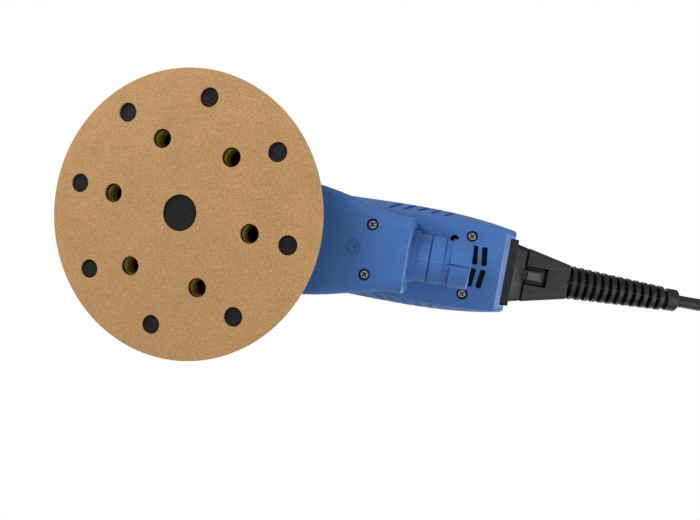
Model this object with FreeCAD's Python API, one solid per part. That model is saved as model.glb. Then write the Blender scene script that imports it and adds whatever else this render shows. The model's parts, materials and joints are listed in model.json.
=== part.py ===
import FreeCAD
import Part
import math
import os

# Random orbital sander, millimetres. +Z runs up the motor axis from the sanding face,
# +X runs along the handle towards the power lead, the origin is on the motor axis.

vec = FreeCAD.Vector

# ---- pad and abrasive
disc_radius = 75.0
sheet_shift_x = 1.15
sheet_shift_y = 1.1
pad_throw = 2.5
abrasive_thickness = 0.9
hook_thickness = 1.3
hook_inset = 1.9
foam_thickness = 7.8
foam_inset = 2.0
foam_taper = 3.0
plate_thickness = 3.5
plate_inset = 5.0
plate_boss_radius = 20.0
plate_boss_height = 2.5
outer_hole_circle = 60.25
outer_hole_count = 8
inner_hole_circle = 39.5
inner_hole_count = 6
hole_start_deg = 6.45
dust_hole_radius = 5.0
hook_hole_inset = 0.4
centre_hole_radius = 9.45
stud_radius = 4.0
stud_head_radius = 9.0
stud_head_thickness = 1.5
stud_engagement = 10.0

# ---- bearings and spindle
big_bore_radius = 6.0
big_outer_radius = 14.0
big_bearing_width = 8.0
small_bore_radius = 3.0
small_outer_radius = 9.5
small_bearing_width = 6.0
race_share = 0.36
running_gap = 0.05
spindle_flange_radius = 8.2
spindle_flange_thickness = 2.0
keeper_washer_radius = 7.0
keeper_head_radius = 4.0
keeper_washer_height = 0.9
keeper_height = 1.8

washer_height = 0.6
washer_gap = 0.4
bearing_end_gap = 0.5
rotor_end_gap = 1.0

# ---- eccentric, shaft and rotor
cup_wall = 3.2
cup_web = 1.7
cup_relief = 2.8
cup_relief_gap = 0.5
weight_radius = 27.0
weight_bottom_gap = 3.0
weight_height = 12.0
weight_half_deg = 78.0
shaft_collar_height = 0.6
rotor_shaft_radius = 4.0
rotor_core_radius = 13.5
magnet_thickness = 2.4
magnet_count = 4
magnet_cover_deg = 80.0
air_gap = 0.7
stack_height = 18.0
fan_radius = 27.0
fan_disc_thickness = 1.2
fan_height = 4.2
fan_hub_radius = 7.0
fan_blade_count = 11
fan_blade_thickness = 1.1
fan_gap = 1.2
fan_blade_root = 11.0
fan_blade_sweep_deg = 28.0

# ---- stator and motor plate
stator_radius = 34.0
stator_yoke = 5.0
stator_teeth = 9
tooth_width = 5.0
winding_thickness = 2.1
winding_overhang = 2.3
winding_inset = 1.2
sleeve_wall = 2.0
sleeve_overhang = 3.0
plate_hub_wall = 3.5
motor_plate_thickness = 3.0
winding_gap = 0.8

# ---- housing head
head_radius = 43.5
head_wall = 2.8
head_crown_radius = 36.0
head_crown_drop = 9.0
grip_height = 10.5
grip_crown_share = 0.3
grip_bulge_share = 0.78
grip_bulge_rise = 0.7
head_top_wall = 3.0
rib_count = 6
rib_thickness = 2.4
side_vent_count = 6
side_vent_width = 2.6
side_vent_height = 10.0
side_vent_pitch_deg = 8.0
side_vent_lift = 2.0
rib_start_deg = 30.0
bearing_boss_wall = 2.5

# ---- handle
handle_end = 172.0
handle_bottom = 54.0
handle_top = 84.0
handle_wall = 2.8
handle_joint = 70.0
handle_start = 30.0
neck_half_bottom = 26.0
neck_half_side = 31.0
palm_half_bottom = 24.3
palm_half_side = 29.9
palm_at = 0.542
grip_half_bottom = 24.7
grip_half_side = 28.8
grip_at = 0.797
tail_half_bottom = 23.0
tail_half_side = 24.9
tail_at = 0.968
end_lift = 3.0
end_inset = 1.1
side_low = 12.0
side_high = 22.0
crown_half = 17.0
handle_edge_round = 2.4
handle_side_round = 5.0
handle_crown_round = 7.0
bottom_inset_share = 0.7
crown_inset_share = 0.5
groove_count = 5
groove_radius = 1.3
groove_first = 98.7
groove_pitch = 7.9
groove_slant = 9.0
groove_inset = 0.3
groove_lift = 2.0
groove_exit = 1.2
vent_width = 3.1
vent_length = 10.6
vent_corner = 1.0
vent_from_end = 20.4
vent_column_pitch = 5.2
vent_skew = 1.3
vent_centre_offset = 6.4

# ---- shroud and dust duct
shroud_radius = 60.0
shroud_wall = 3.0
shroud_gap = 1.0
shroud_shoulder = 33.0
shroud_flange_thickness = 2.5
skirt_draft = 1.0
flange_ledge = 4.0
flange_gap = 0.3
seal_width = 5.0
seal_height = 5.2
seal_gap = 0.4
duct_floor = 20.0
duct_end = 117.5
duct_wall = 2.6
duct_start = 30.0
duct_shoulder_at = 60.0
duct_mid_at = 77.0
duct_neck_at = 102.0
duct_root_half = 33.0
duct_shoulder_half = 30.4
duct_mid_half = 27.6
duct_neck_half = 21.6
duct_end_half = 20.4
duct_root_round = 2.6
duct_mid_round = 4.0
duct_neck_round = 7.0
duct_end_round = 9.0
duct_top_round = 2.0
duct_rim_round = 1.6
spigot_radius = 13.0
spigot_bore = 10.3
spigot_axis_height = 38.0
spigot_lip_radius = 14.2
spigot_lip = 3.3
spigot_ring_length = 6.6
spigot_ring_count = 2
spigot_groove = 0.9
spigot_neck_length = 3.0
spigot_neck_radius = 12.0
spigot_tip_length = 10.4
spigot_slit = 1.1
spigot_slit_start = 0.6
spigot_slit_end = 0.9
spigot_chamfer = 0.8
spigot_insert = 2.6

# ---- screws
screw_head_radius = 2.3
screw_head_height = 1.7
screw_head_round = 0.5
screw_tip_gap = 1.0
screw_shank_radius = 1.4
screw_recess_radius = 3.15
screw_recess_depth = 3.2
screw_boss_radius = 4.6
screw_post_radius = 3.4
duct_screw_x = 96.5
duct_screw_y = 13.1
duct_screw_bite = 8.0
handle_screw_from_end = 23.7
handle_screw_y = 16.5
spare_hole_from_end = 33.0
spare_hole_y = -13.4
spare_hole_radius = 2.4
spare_hole_depth = 6.0
spare_boss_floor = 2.0
flange_screw_circle = 36.8
flange_screw_count = 4
flange_screw_start_deg = 45.0
cross_width = 0.7
cross_reach = 1.5
cross_depth = 0.9

# ---- trigger lever
lever_start = 44.0
lever_length = 90.0
lever_half = 14.5
lever_thickness = 4.0
lever_clear = 7.5
lever_round = 9.0
lever_edge_round = 1.6
lever_pin_radius = 1.5
lever_pin_inset = 4.0
lever_pin_height = 3.6
lug_half = 6.5
lug_radius = 3.0
ear_gap = 0.5
ear_thickness = 3.0
ear_radius = 2.9
spring_at = 27.0
spring_radius = 3.6
spring_wire_radius = 0.45
spring_turns = 4.5
magnet_from_tip = 9.0
lever_magnet_radius = 3.0
lever_magnet_height = 1.6

# ---- keypad
keypad_from_end = 31.0
keypad_length = 23.0
keypad_half = 13.5
keypad_height = 2.0
keypad_round = 3.0
button_radius = 3.8
button_pitch = 8.8
button_proud = 1.2
button_travel = 0.8
button_gap = 0.3
button_row = 11.0
lens_row = 18.5
lens_radius = 1.6
lens_proud = 0.3
button_round = 0.5
switch_gap = 0.2
switch_half = 3.0
switch_height = 3.2
keypad_board_drop = 7.8
keypad_board_gap = 1.0
board_thickness = 1.6

# ---- controller
board_start = 54.0
board_length = 84.0
board_half = 19.5
board_lift = 9.2
board_post_radius = 2.4
board_post_end_gap = 5.0
board_post_side_gap = 4.0
sensor_half = 2.5
sensor_height = 1.6
capacitor_radius = 6.2
capacitor_length = 24.0
capacitor_spread = 9.0
capacitor_gap = 4.0
choke_radius = 7.0
choke_wire_radius = 3.0
choke_from_end = 13.0
sink_length = 26.0
sink_from_end = 4.0
sink_half = 15.0
sink_base = 2.0
sink_height = 10.0
sink_fins = 6
sink_fin_thickness = 1.4
wire_radius = 1.1
wire_dip_run = 9.0
wire_rise = 4.0
motor_wire_pitch = 5.0
motor_wire_inset = 1.5
wire_clearance = 1.0
wire_board_inset = 1.65
wire_coil_gap = 0.2
supply_wire_inset = 3.0

# ---- power inlet and lead
lead_height = 67.0
socket_depth = 11.0
socket_proud = 7.7
socket_rim = 1.9
rim_notch = 2.6
rim_drop = 1.2
rim_round = 1.4
socket_half = 18.8
socket_collar_half = 16.6
socket_tip_half = 15.2
socket_half_height = 9.6
socket_collar_half_height = 9.2
socket_tip_half_height = 8.6
socket_round = 3.0
nose_half = 11.5
nose_half_height = 5.2
nose_gap = 0.35
nose_length = 12.0
nose_round = 2.0
contact_radius = 1.2
contact_pitch = 9.0
contact_length = 9.0
contact_gap = 0.15
plug_gap = 1.2
plug_length = 23.1
plug_tip_half = 9.6
plug_tip_half_height = 7.6
latch_length = 10.5
latch_half = 2.9
latch_thickness = 1.8
latch_gap = 2.4
latch_travel = 1.3
latch_root_radius = 0.9
latch_pivot_inset = 1.2
latch_slot_drop = 5.0
latch_slot_gap = 0.3
catch_length = 6.6
catch_from_end = 1.8
catch_inset = 0.6
catch_height = 0.8
relief_length = 57.2
relief_ribs = 13
relief_root_radius = 9.6
relief_tip_radius = 6.4
relief_core_drop = 2.0
relief_rib_share = 0.55
relief_collar_length = 5.6
relief_collar_radius = 6.0
cord_radius = 3.25
first_run = 40.0
drop_reach = 42.0
bench_run = 60.0
coil_overlap = 8.0
coil_mean_radius = 39.0
coil_columns = 4
coil_layers = 4
coil_pitch = 6.65
coil_round = 5.0
tail_run = 31.0
tail_overlap = 8.0
tail_drop_reach = 38.0
tail_end_run = 14.0
mains_length = 36.0
mains_half = 17.5
mains_half_height = 8.2
mains_neck_half = 6.0
mains_neck_half_height = 5.2
mains_neck_round = 3.0
mains_round = 4.0
mains_waist_at = 16.2
mains_waist_half = 14.0
mains_pin_radius = 2.0
mains_pin_pitch = 19.0
mains_pin_length = 19.0
mains_pin_round = 0.8

# ---- derived levels and positions
hook_top = abrasive_thickness + hook_thickness
foam_top = hook_top + foam_thickness
plate_top = foam_top + plate_thickness
boss_top = plate_top + plate_boss_height
spindle_bottom = boss_top
bearing_bottom = spindle_bottom + spindle_flange_thickness
bearing_top = bearing_bottom + 2 * big_bearing_width
cup_radius = big_outer_radius + cup_wall
cup_top = bearing_top + cup_relief + cup_web
lower_bearing_bottom = cup_top + bearing_end_gap
lower_bearing_top = lower_bearing_bottom + big_bearing_width
motor_plate_top = lower_bearing_top
motor_plate_bottom = motor_plate_top - motor_plate_thickness
stack_bottom = motor_plate_top + winding_gap + winding_overhang
stack_top = stack_bottom + stack_height
fan_bottom = stack_top + winding_overhang + fan_gap
fan_top = fan_bottom + fan_height
upper_bearing_bottom = fan_top + rotor_end_gap
upper_bearing_top = upper_bearing_bottom + small_bearing_width
head_inside_top = upper_bearing_top + washer_height
head_top = head_inside_top + head_top_wall
head_inner = head_radius - head_wall
magnet_radius = rotor_core_radius + magnet_thickness
sleeve_radius = stator_radius + sleeve_wall
shroud_bottom = plate_top + shroud_gap
flange_top = motor_plate_bottom
flange_bottom = flange_top - shroud_flange_thickness
shroud_inner = shroud_radius - shroud_wall
plate_hub_radius = big_outer_radius + plate_hub_wall
pad_centre_y = -pad_throw
lever_under = handle_top + lever_clear
lever_pin_x = lever_start + lever_pin_inset
lever_pin_z = handle_top + lever_pin_height
keypad_x = handle_end - keypad_from_end
board_bottom = handle_bottom + handle_wall + board_lift
board_top = board_bottom + board_thickness
socket_end = handle_end + socket_proud
plug_start = socket_end + plug_gap
plug_end = plug_start + plug_length
relief_end = plug_end + relief_length
handle_screw_x = handle_end - handle_screw_from_end
coil_x = relief_end + first_run + drop_reach + bench_run + coil_overlap
coil_y = coil_mean_radius + (coil_columns - 1) / 2 * coil_pitch
coil_inner = coil_mean_radius - coil_columns * coil_pitch / 2
coil_outer = coil_mean_radius + coil_columns * coil_pitch / 2
coil_height = coil_layers * coil_pitch
tail_y = 2 * coil_y
tail_z = coil_height - coil_pitch / 2
mains_z = mains_half_height
mains_cord_x = coil_x - tail_run - tail_drop_reach - tail_end_run
mains_face_x = mains_cord_x - mains_length

# cutting tools run past a face by over, joined pieces sink into each other by overlap
longer = 400.0
over = 1.0
overlap = 0.5
pick = 0.01
bend_share = 0.45


def cylinder(radius, low, high, x=0.0, y=0.0):
    return Part.makeCylinder(radius, high - low, vec(x, y, low))


def ring(outer, inner, low, high, x=0.0, y=0.0):
    return cylinder(outer, low, high, x, y).cut(cylinder(inner, low - over, high + over, x, y))


def along_x(radius, start, end, y, z):
    return Part.makeCylinder(radius, end - start, vec(start, y, z), vec(1, 0, 0))


def block(x0, x1, y0, y1, z0, z1):
    return Part.makeBox(x1 - x0, y1 - y0, z1 - z0, vec(x0, y0, z0))


def union(shapes):
    whole = shapes[0]
    for shape in shapes[1:]:
        whole = whole.fuse(shape)
    return whole.removeSplitter()


def polar(radius, degrees):
    angle = math.radians(degrees)
    return radius * math.cos(angle), radius * math.sin(angle)


def turned(points, x=0.0, y=0.0):
    # solid of revolution about a vertical axis, from (radius, height) corners
    corners = [vec(x + r, y, z) for r, z in points]
    face = Part.Face(Part.makePolygon(corners + corners[:1]))
    return face.revolve(vec(x, y, 0), vec(0, 0, 1), 360)


def rounded_wire(corners, radii):
    # closed wire of straight sides and one tangent arc at each corner
    count = len(corners)
    entry = []
    middle = []
    leave = []
    for i in range(count):
        here = corners[i]
        back = (corners[i - 1] - here).normalize()
        ahead = (corners[(i + 1) % count] - here).normalize()
        half = back.getAngle(ahead) / 2
        setback = radii[i] / math.tan(half)
        bisector = (back + ahead).normalize()
        centre = here + bisector * (radii[i] / math.sin(half))
        entry.append(here + back * setback)
        middle.append(centre - bisector * radii[i])
        leave.append(here + ahead * setback)
    edges = []
    for i in range(count):
        edges.append(Part.Arc(entry[i], middle[i], leave[i]).toShape())
        edges.append(Part.LineSegment(leave[i], entry[(i + 1) % count]).toShape())
    return Part.Wire(edges)


def rounded_plate(x0, x1, half, low, high, radius, y=0.0):
    corners = [
        vec(x0, y - half, low),
        vec(x1, y - half, low),
        vec(x1, y + half, low),
        vec(x0, y + half, low),
    ]
    return Part.Face(rounded_wire(corners, [radius] * 4)).extrude(vec(0, 0, high - low))


def end_frame(x, half, half_height, radius, y=0.0, z=lead_height):
    corners = [
        vec(x, y - half, z - half_height),
        vec(x, y + half, z - half_height),
        vec(x, y + half, z + half_height),
        vec(x, y - half, z + half_height),
    ]
    return rounded_wire(corners, [radius] * 4)


def dust_holes(radius, low, high):
    holes = []
    for i in range(inner_hole_count):
        x, y = polar(inner_hole_circle, hole_start_deg + i * 360 / inner_hole_count)
        holes.append(cylinder(radius, low - over, high + over, x, y + pad_centre_y))
    return holes


def cut_all(shape, tools):
    for tool in tools:
        shape = shape.cut(tool)
    return shape


def tube(points, radius, label=None):
    # round bar along straight runs joined by tangent arcs
    edges = []
    at = points[0]
    for i in range(1, len(points) - 1):
        here = points[i]
        back = points[i - 1] - here
        ahead = points[i + 1] - here
        turn = math.pi - back.getAngle(ahead)
        setback = bend_share * min(back.Length, ahead.Length)
        bend = setback / math.tan(turn / 2)
        first = here + vec(back).normalize() * setback
        last = here + vec(ahead).normalize() * setback
        bisector = (vec(back).normalize() + vec(ahead).normalize()).normalize()
        centre = here + bisector * math.hypot(bend, setback)
        edges.append(Part.LineSegment(at, first).toShape())
        edges.append(Part.Arc(first, centre - bisector * bend, last).toShape())
        at = last
        if label:
            print(label, "bend", i, "radius", round(bend, 1), "turn", round(math.degrees(turn), 1))
    edges.append(Part.LineSegment(at, points[-1]).toShape())
    path = Part.Wire(edges)
    profile = Part.Wire([Part.Circle(points[0], points[1] - points[0], radius).toShape()])
    solid = path.makePipeShell([profile], True, False)
    if label:
        share = solid.Volume / (math.pi * radius * radius * path.Length)
        print(label, "length", round(path.Length, 1), "volume share", round(share, 4))
    return solid, path.Length


# ---- pad

def abrasive_disc():
    # the round sheet sits a little off the hole pattern
    sheet = cylinder(disc_radius, 0, abrasive_thickness, sheet_shift_x, pad_centre_y + sheet_shift_y)
    holes = dust_holes(dust_hole_radius, 0, abrasive_thickness)
    for i in range(outer_hole_count):
        x, y = polar(outer_hole_circle, hole_start_deg + i * 360 / outer_hole_count)
        holes.append(cylinder(dust_hole_radius, -over, abrasive_thickness + over, x, y + pad_centre_y))
    holes.append(cylinder(centre_hole_radius, -over, abrasive_thickness + over, 0, pad_centre_y))
    return cut_all(sheet, holes)


def pad_hook_face():
    layer = cylinder(disc_radius - hook_inset, abrasive_thickness, hook_top, 0, pad_centre_y)
    return cut_all(layer, dust_holes(dust_hole_radius - hook_hole_inset, abrasive_thickness, hook_top))


def pad_foam():
    low = disc_radius - foam_inset
    high = low - foam_taper
    middle = hook_top + foam_thickness / 2
    profile = [(0, hook_top), (low, hook_top), (low, middle), (high, foam_top), (0, foam_top)]
    body = turned(profile, 0, pad_centre_y)
    return cut_all(body, dust_holes(dust_hole_radius - hook_hole_inset, hook_top, foam_top))


def pad_backing_plate():
    edge = disc_radius - plate_inset
    plate = cylinder(edge, foam_top, plate_top, 0, pad_centre_y)
    boss = cylinder(plate_boss_radius, plate_top - over, boss_top, 0, pad_centre_y)
    plate = union([plate, boss])
    tools = dust_holes(dust_hole_radius - hook_hole_inset, foam_top, plate_top)
    tools.append(cylinder(stud_radius, foam_top - over, boss_top + over, 0, pad_centre_y))
    tools.append(cylinder(stud_head_radius, foam_top - over, foam_top + stud_head_thickness, 0, pad_centre_y))
    return cut_all(plate, tools)


def pad_stud():
    head = cylinder(stud_head_radius, foam_top, foam_top + stud_head_thickness, 0, pad_centre_y)
    shank = cylinder(stud_radius, foam_top, boss_top + stud_engagement, 0, pad_centre_y)
    return union([head, shank])


def pad_spindle():
    flange = cylinder(spindle_flange_radius, spindle_bottom, bearing_bottom, 0, pad_centre_y)
    body = cylinder(big_bore_radius, spindle_bottom, bearing_top, 0, pad_centre_y)
    socket = cylinder(stud_radius, spindle_bottom - over, spindle_bottom + stud_engagement, 0, pad_centre_y)
    return union([flange, body]).cut(socket)


def spindle_keeper():
    # cap screw that holds the spindle up in the two pad bearings
    disc = cylinder(keeper_washer_radius, bearing_top, bearing_top + keeper_washer_height, 0, pad_centre_y)
    head = cylinder(keeper_head_radius, bearing_top, bearing_top + keeper_height, 0, pad_centre_y)
    return union([disc, head])


# ---- bearings

def race_split(bore, outer):
    return bore + race_share * (outer - bore)


def inner_race(bore, outer, low, high, y=0.0):
    return ring(race_split(bore, outer), bore, low, high, 0, y)


def outer_race(bore, outer, low, high, y=0.0):
    return ring(outer, race_split(bore, outer) + running_gap, low, high, 0, y)


def pad_bearing_inner_rings():
    middle = bearing_bottom + big_bearing_width
    lower = inner_race(big_bore_radius, big_outer_radius, bearing_bottom, middle, pad_centre_y)
    upper = inner_race(big_bore_radius, big_outer_radius, middle, bearing_top, pad_centre_y)
    return Part.makeCompound([lower, upper])


def pad_bearing_outer_rings():
    middle = bearing_bottom + big_bearing_width
    lower = outer_race(big_bore_radius, big_outer_radius, bearing_bottom, middle, pad_centre_y)
    upper = outer_race(big_bore_radius, big_outer_radius, middle, bearing_top, pad_centre_y)
    return Part.makeCompound([lower, upper])


def lower_bearing_inner():
    return inner_race(big_bore_radius, big_outer_radius, lower_bearing_bottom, lower_bearing_top)


def lower_bearing_outer():
    return outer_race(big_bore_radius, big_outer_radius, lower_bearing_bottom, lower_bearing_top)


def upper_bearing_inner():
    return inner_race(small_bore_radius, small_outer_radius, upper_bearing_bottom, upper_bearing_top)


def upper_bearing_outer():
    return outer_race(small_bore_radius, small_outer_radius, upper_bearing_bottom, upper_bearing_top)


def wave_washer():
    outer = small_outer_radius - washer_gap
    inner = race_split(small_bore_radius, small_outer_radius) + 2 * washer_gap
    return ring(outer, inner, upper_bearing_top, head_inside_top)


# ---- rotating motor parts

def motor_shaft():
    relief = race_split(big_bore_radius, big_outer_radius) + cup_relief_gap
    cup = cylinder(cup_radius, bearing_bottom, cup_top, 0, pad_centre_y)
    cup = cup.cut(cylinder(big_outer_radius, bearing_bottom - over, bearing_top, 0, pad_centre_y))
    cup = cup.cut(cylinder(relief, bearing_top - over, bearing_top + cup_relief, 0, pad_centre_y))
    lower = cylinder(big_bore_radius, cup_top - over, lower_bearing_top + shaft_collar_height)
    middle = cylinder(rotor_shaft_radius, lower_bearing_top, upper_bearing_bottom)
    upper = cylinder(small_bore_radius, upper_bearing_bottom - over, upper_bearing_top)
    return union([cup, lower, middle, upper])


def counterweight():
    low = bearing_bottom + weight_bottom_gap
    high = low + weight_height
    start = vec(0, 0, low)
    angle = 90 - weight_half_deg
    wedge = Part.makeCylinder(weight_radius, weight_height, start, vec(0, 0, 1), 2 * weight_half_deg)
    wedge.rotate(start, vec(0, 0, 1), angle)
    return wedge.cut(cylinder(cup_radius, low - over, high + over, 0, pad_centre_y))


def rotor_core():
    return ring(rotor_core_radius, rotor_shaft_radius, stack_bottom, stack_top)


def rotor_magnets():
    parts = []
    band = ring(magnet_radius, rotor_core_radius, stack_bottom, stack_top)
    for i in range(magnet_count):
        base = vec(0, 0, stack_bottom)
        wedge = Part.makeCylinder(magnet_radius + over, stack_height, base, vec(0, 0, 1), magnet_cover_deg)
        wedge.rotate(vec(0, 0, 0), vec(0, 0, 1), i * 360 / magnet_count)
        parts.append(band.common(wedge))
    return Part.makeCompound(parts)


def cooling_fan():
    disc = ring(fan_radius, rotor_shaft_radius, fan_bottom, fan_bottom + fan_disc_thickness)
    hub = ring(fan_hub_radius, rotor_shaft_radius, fan_bottom, fan_top)
    parts = [disc, hub]
    for i in range(fan_blade_count):
        half = fan_blade_thickness / 2
        blade = block(fan_blade_root, fan_radius, -half, half, fan_bottom, fan_top)
        blade.rotate(vec(fan_blade_root, 0, 0), vec(0, 0, 1), fan_blade_sweep_deg)
        blade.rotate(vec(0, 0, 0), vec(0, 0, 1), i * 360 / fan_blade_count)
        parts.append(blade.common(cylinder(fan_radius, fan_bottom, fan_top)))
    return union(parts)


# ---- fixed motor parts

def stator_core():
    bore = magnet_radius + air_gap
    yoke = ring(stator_radius, stator_radius - stator_yoke, stack_bottom, stack_top)
    parts = [yoke]
    for i in range(stator_teeth):
        reach = stator_radius - stator_yoke / 2
        tooth = block(bore, reach, -tooth_width / 2, tooth_width / 2, stack_bottom, stack_top)
        tooth.rotate(vec(0, 0, 0), vec(0, 0, 1), i * 360 / stator_teeth)
        parts.append(tooth)
    return union(parts).cut(cylinder(bore, stack_bottom - over, stack_top + over))


def stator_windings():
    near = magnet_radius + air_gap + winding_inset
    far = stator_radius - stator_yoke - winding_inset
    wide = tooth_width / 2 + winding_thickness
    half = tooth_width / 2
    coils = []
    for i in range(stator_teeth):
        coil = block(near, far, -wide, wide, stack_bottom - winding_overhang, stack_top + winding_overhang)
        coil = coil.cut(block(near - over, far + over, -half, half, stack_bottom, stack_top))
        coil.rotate(vec(0, 0, 0), vec(0, 0, 1), i * 360 / stator_teeth)
        coils.append(coil)
    return Part.makeCompound(coils)


def stator_sleeve():
    return ring(sleeve_radius, stator_radius, motor_plate_top, stack_top + sleeve_overhang)


def motor_plate():
    plate = cylinder(head_inner, motor_plate_bottom, motor_plate_top)
    hub = cylinder(plate_hub_radius, lower_bearing_bottom, motor_plate_top)
    body = union([plate, hub])
    body = body.cut(cylinder(big_outer_radius, lower_bearing_bottom - over, motor_plate_top + over))
    return cut_all(body, flange_screw_bores())


def flange_screw_spots():
    step = 360 / flange_screw_count
    angles = [flange_screw_start_deg + i * step for i in range(flange_screw_count)]
    return [polar(flange_screw_circle, angle) for angle in angles]


def flange_screw_bores():
    low = flange_bottom - over
    high = motor_plate_top + over
    return [cylinder(screw_shank_radius, low, high, x, y) for x, y in flange_screw_spots()]


# ---- handle and head housings

def handle_section(x, half_bottom, half_side, inset, lift=0.0):
    bottom = handle_bottom + inset + lift
    top = handle_top - inset - lift
    low = handle_bottom + side_low
    high = handle_bottom + side_high
    hb = half_bottom - inset * bottom_inset_share
    hs = half_side - inset
    hc = crown_half - inset * crown_inset_share
    corners = [
        vec(x, -hb, bottom),
        vec(x, hb, bottom),
        vec(x, hs, low),
        vec(x, hs, high),
        vec(x, hc, top),
        vec(x, -hc, top),
        vec(x, -hs, high),
        vec(x, -hs, low),
    ]
    edge = handle_edge_round
    side = handle_side_round
    crown = handle_crown_round
    return rounded_wire(corners, [edge, edge, side, side, crown, crown, side, side])


def handle_body(inset):
    reach = handle_end
    stations = [
        (handle_start, neck_half_bottom, neck_half_side),
        (palm_at * reach, palm_half_bottom, palm_half_side),
        (grip_at * reach, grip_half_bottom, grip_half_side),
        (tail_at * reach, tail_half_bottom, tail_half_side),
    ]
    wires = [handle_section(x, hb, hs, inset) for x, hb, hs in stations]
    body = Part.makeLoft(wires, True, False)
    if inset > 0:
        return body
    end = [
        handle_section(tail_at * reach, tail_half_bottom, tail_half_side, 0),
        handle_section(reach, tail_half_bottom - end_inset, tail_half_side - end_inset, 0, end_lift),
    ]
    return body.fuse(Part.makeLoft(end, True, True))


def domed_head(radius, crown, low, shoulder, top):
    # upright wall, rounded shoulder and flat top
    p0 = vec(0, 0, low)
    p1 = vec(radius, 0, low)
    p2 = vec(radius, 0, shoulder)
    dx = radius - crown
    dz = top - shoulder
    mid = vec(crown + dx * math.sin(math.radians(45)), 0, shoulder + dz * math.sin(math.radians(45)))
    p3 = vec(crown, 0, top)
    p4 = vec(0, 0, top)
    edges = [
        Part.LineSegment(p0, p1).toShape(),
        Part.LineSegment(p1, p2).toShape(),
        Part.Arc(p2, mid, p3).toShape(),
        Part.LineSegment(p3, p4).toShape(),
        Part.LineSegment(p4, p0).toShape(),
    ]
    return Part.Face(Part.Wire(edges)).revolve(vec(0, 0, 0), vec(0, 0, 1), 360)


def head_outer():
    shoulder = head_top - head_crown_drop
    return domed_head(head_radius, head_crown_radius, motor_plate_bottom, shoulder, head_top)


def head_cavity():
    crown = head_crown_radius - head_wall
    shoulder = head_top - head_crown_drop - over
    return domed_head(head_inner, crown, motor_plate_bottom - over, shoulder, head_inside_top)


def side_grooves():
    # slanted finger grooves across the two lower bevels
    tools = []
    for side in (-1, 1):
        for i in range(groove_count):
            x = groove_first + i * groove_pitch
            near = side * (palm_half_bottom - groove_inset)
            far = side * (palm_half_side + groove_exit)
            start = vec(x, near, handle_bottom + groove_lift)
            stop = vec(x + groove_slant, far, handle_bottom + side_low + 2 * groove_exit)
            line = stop - start
            tools.append(Part.makeCylinder(groove_radius, line.Length, start, line))
    return tools


def vent_slots():
    tools = []
    low = handle_bottom - over
    high = handle_bottom + handle_wall + over
    half = vent_width / 2
    skew = math.degrees(math.atan2(vent_skew, vent_length))
    for column in range(2):
        for side in (-1, 1):
            x = handle_end - vent_from_end + column * vent_column_pitch
            y = side * vent_centre_offset
            slot = rounded_plate(x - half, x + half, vent_length / 2, low, high, vent_corner, y)
            slot.rotate(vec(x, y, 0), vec(0, 0, 1), side * skew)
            tools.append(slot)
    return tools


def head_side_vents():
    tools = []
    low = stack_bottom + side_vent_lift
    for side in (90, 270):
        for i in range(side_vent_count):
            angle = side + (i - (side_vent_count - 1) / 2) * side_vent_pitch_deg
            half = side_vent_width / 2
            slot = block(sleeve_radius + over, head_radius + over, -half, half, low, low + side_vent_height)
            slot.rotate(vec(0, 0, 0), vec(0, 0, 1), angle)
            tools.append(slot)
    return tools


def duct_screw_spots():
    return [(duct_screw_x, -duct_screw_y), (duct_screw_x, duct_screw_y)]


def handle_screw_spots():
    return [(handle_screw_x, -handle_screw_y), (handle_screw_x, handle_screw_y)]


def board_post_spots():
    ends = [board_start + board_post_end_gap, board_start + board_length - board_post_end_gap]
    return [(x, side * (board_half - board_post_side_gap)) for x in ends for side in (-1, 1)]


def housing_shell():
    outer = head_outer().fuse(handle_body(0))
    shell = outer.cut(head_cavity()).cut(handle_body(handle_wall))
    return shell.cut(socket_envelope())


def rim_frame(x):
    # outline of the socket's rim, a little lower than the rest of the socket
    half_height = socket_half_height + rim_drop / 2
    return end_frame(x, socket_half, half_height, rim_round, 0.0, lead_height - rim_drop / 2)


def socket_seat(end):
    wires = [
        end_frame(handle_end - socket_depth, socket_half, socket_half_height, socket_round),
        end_frame(end, socket_half, socket_half_height, socket_round),
    ]
    return Part.makeLoft(wires, True, True)


def socket_envelope():
    # space for the socket: its seat in the handle, its rim, and a notch below the rim
    notch_start = handle_end - rim_notch
    rim = Part.makeLoft([rim_frame(notch_start), rim_frame(handle_end + over)], True, True)
    notch = block(
        notch_start, handle_end + over, -socket_half, socket_half, handle_bottom - over, lead_height
    )
    return socket_seat(handle_end + over).fuse(rim).fuse(notch)


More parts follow.
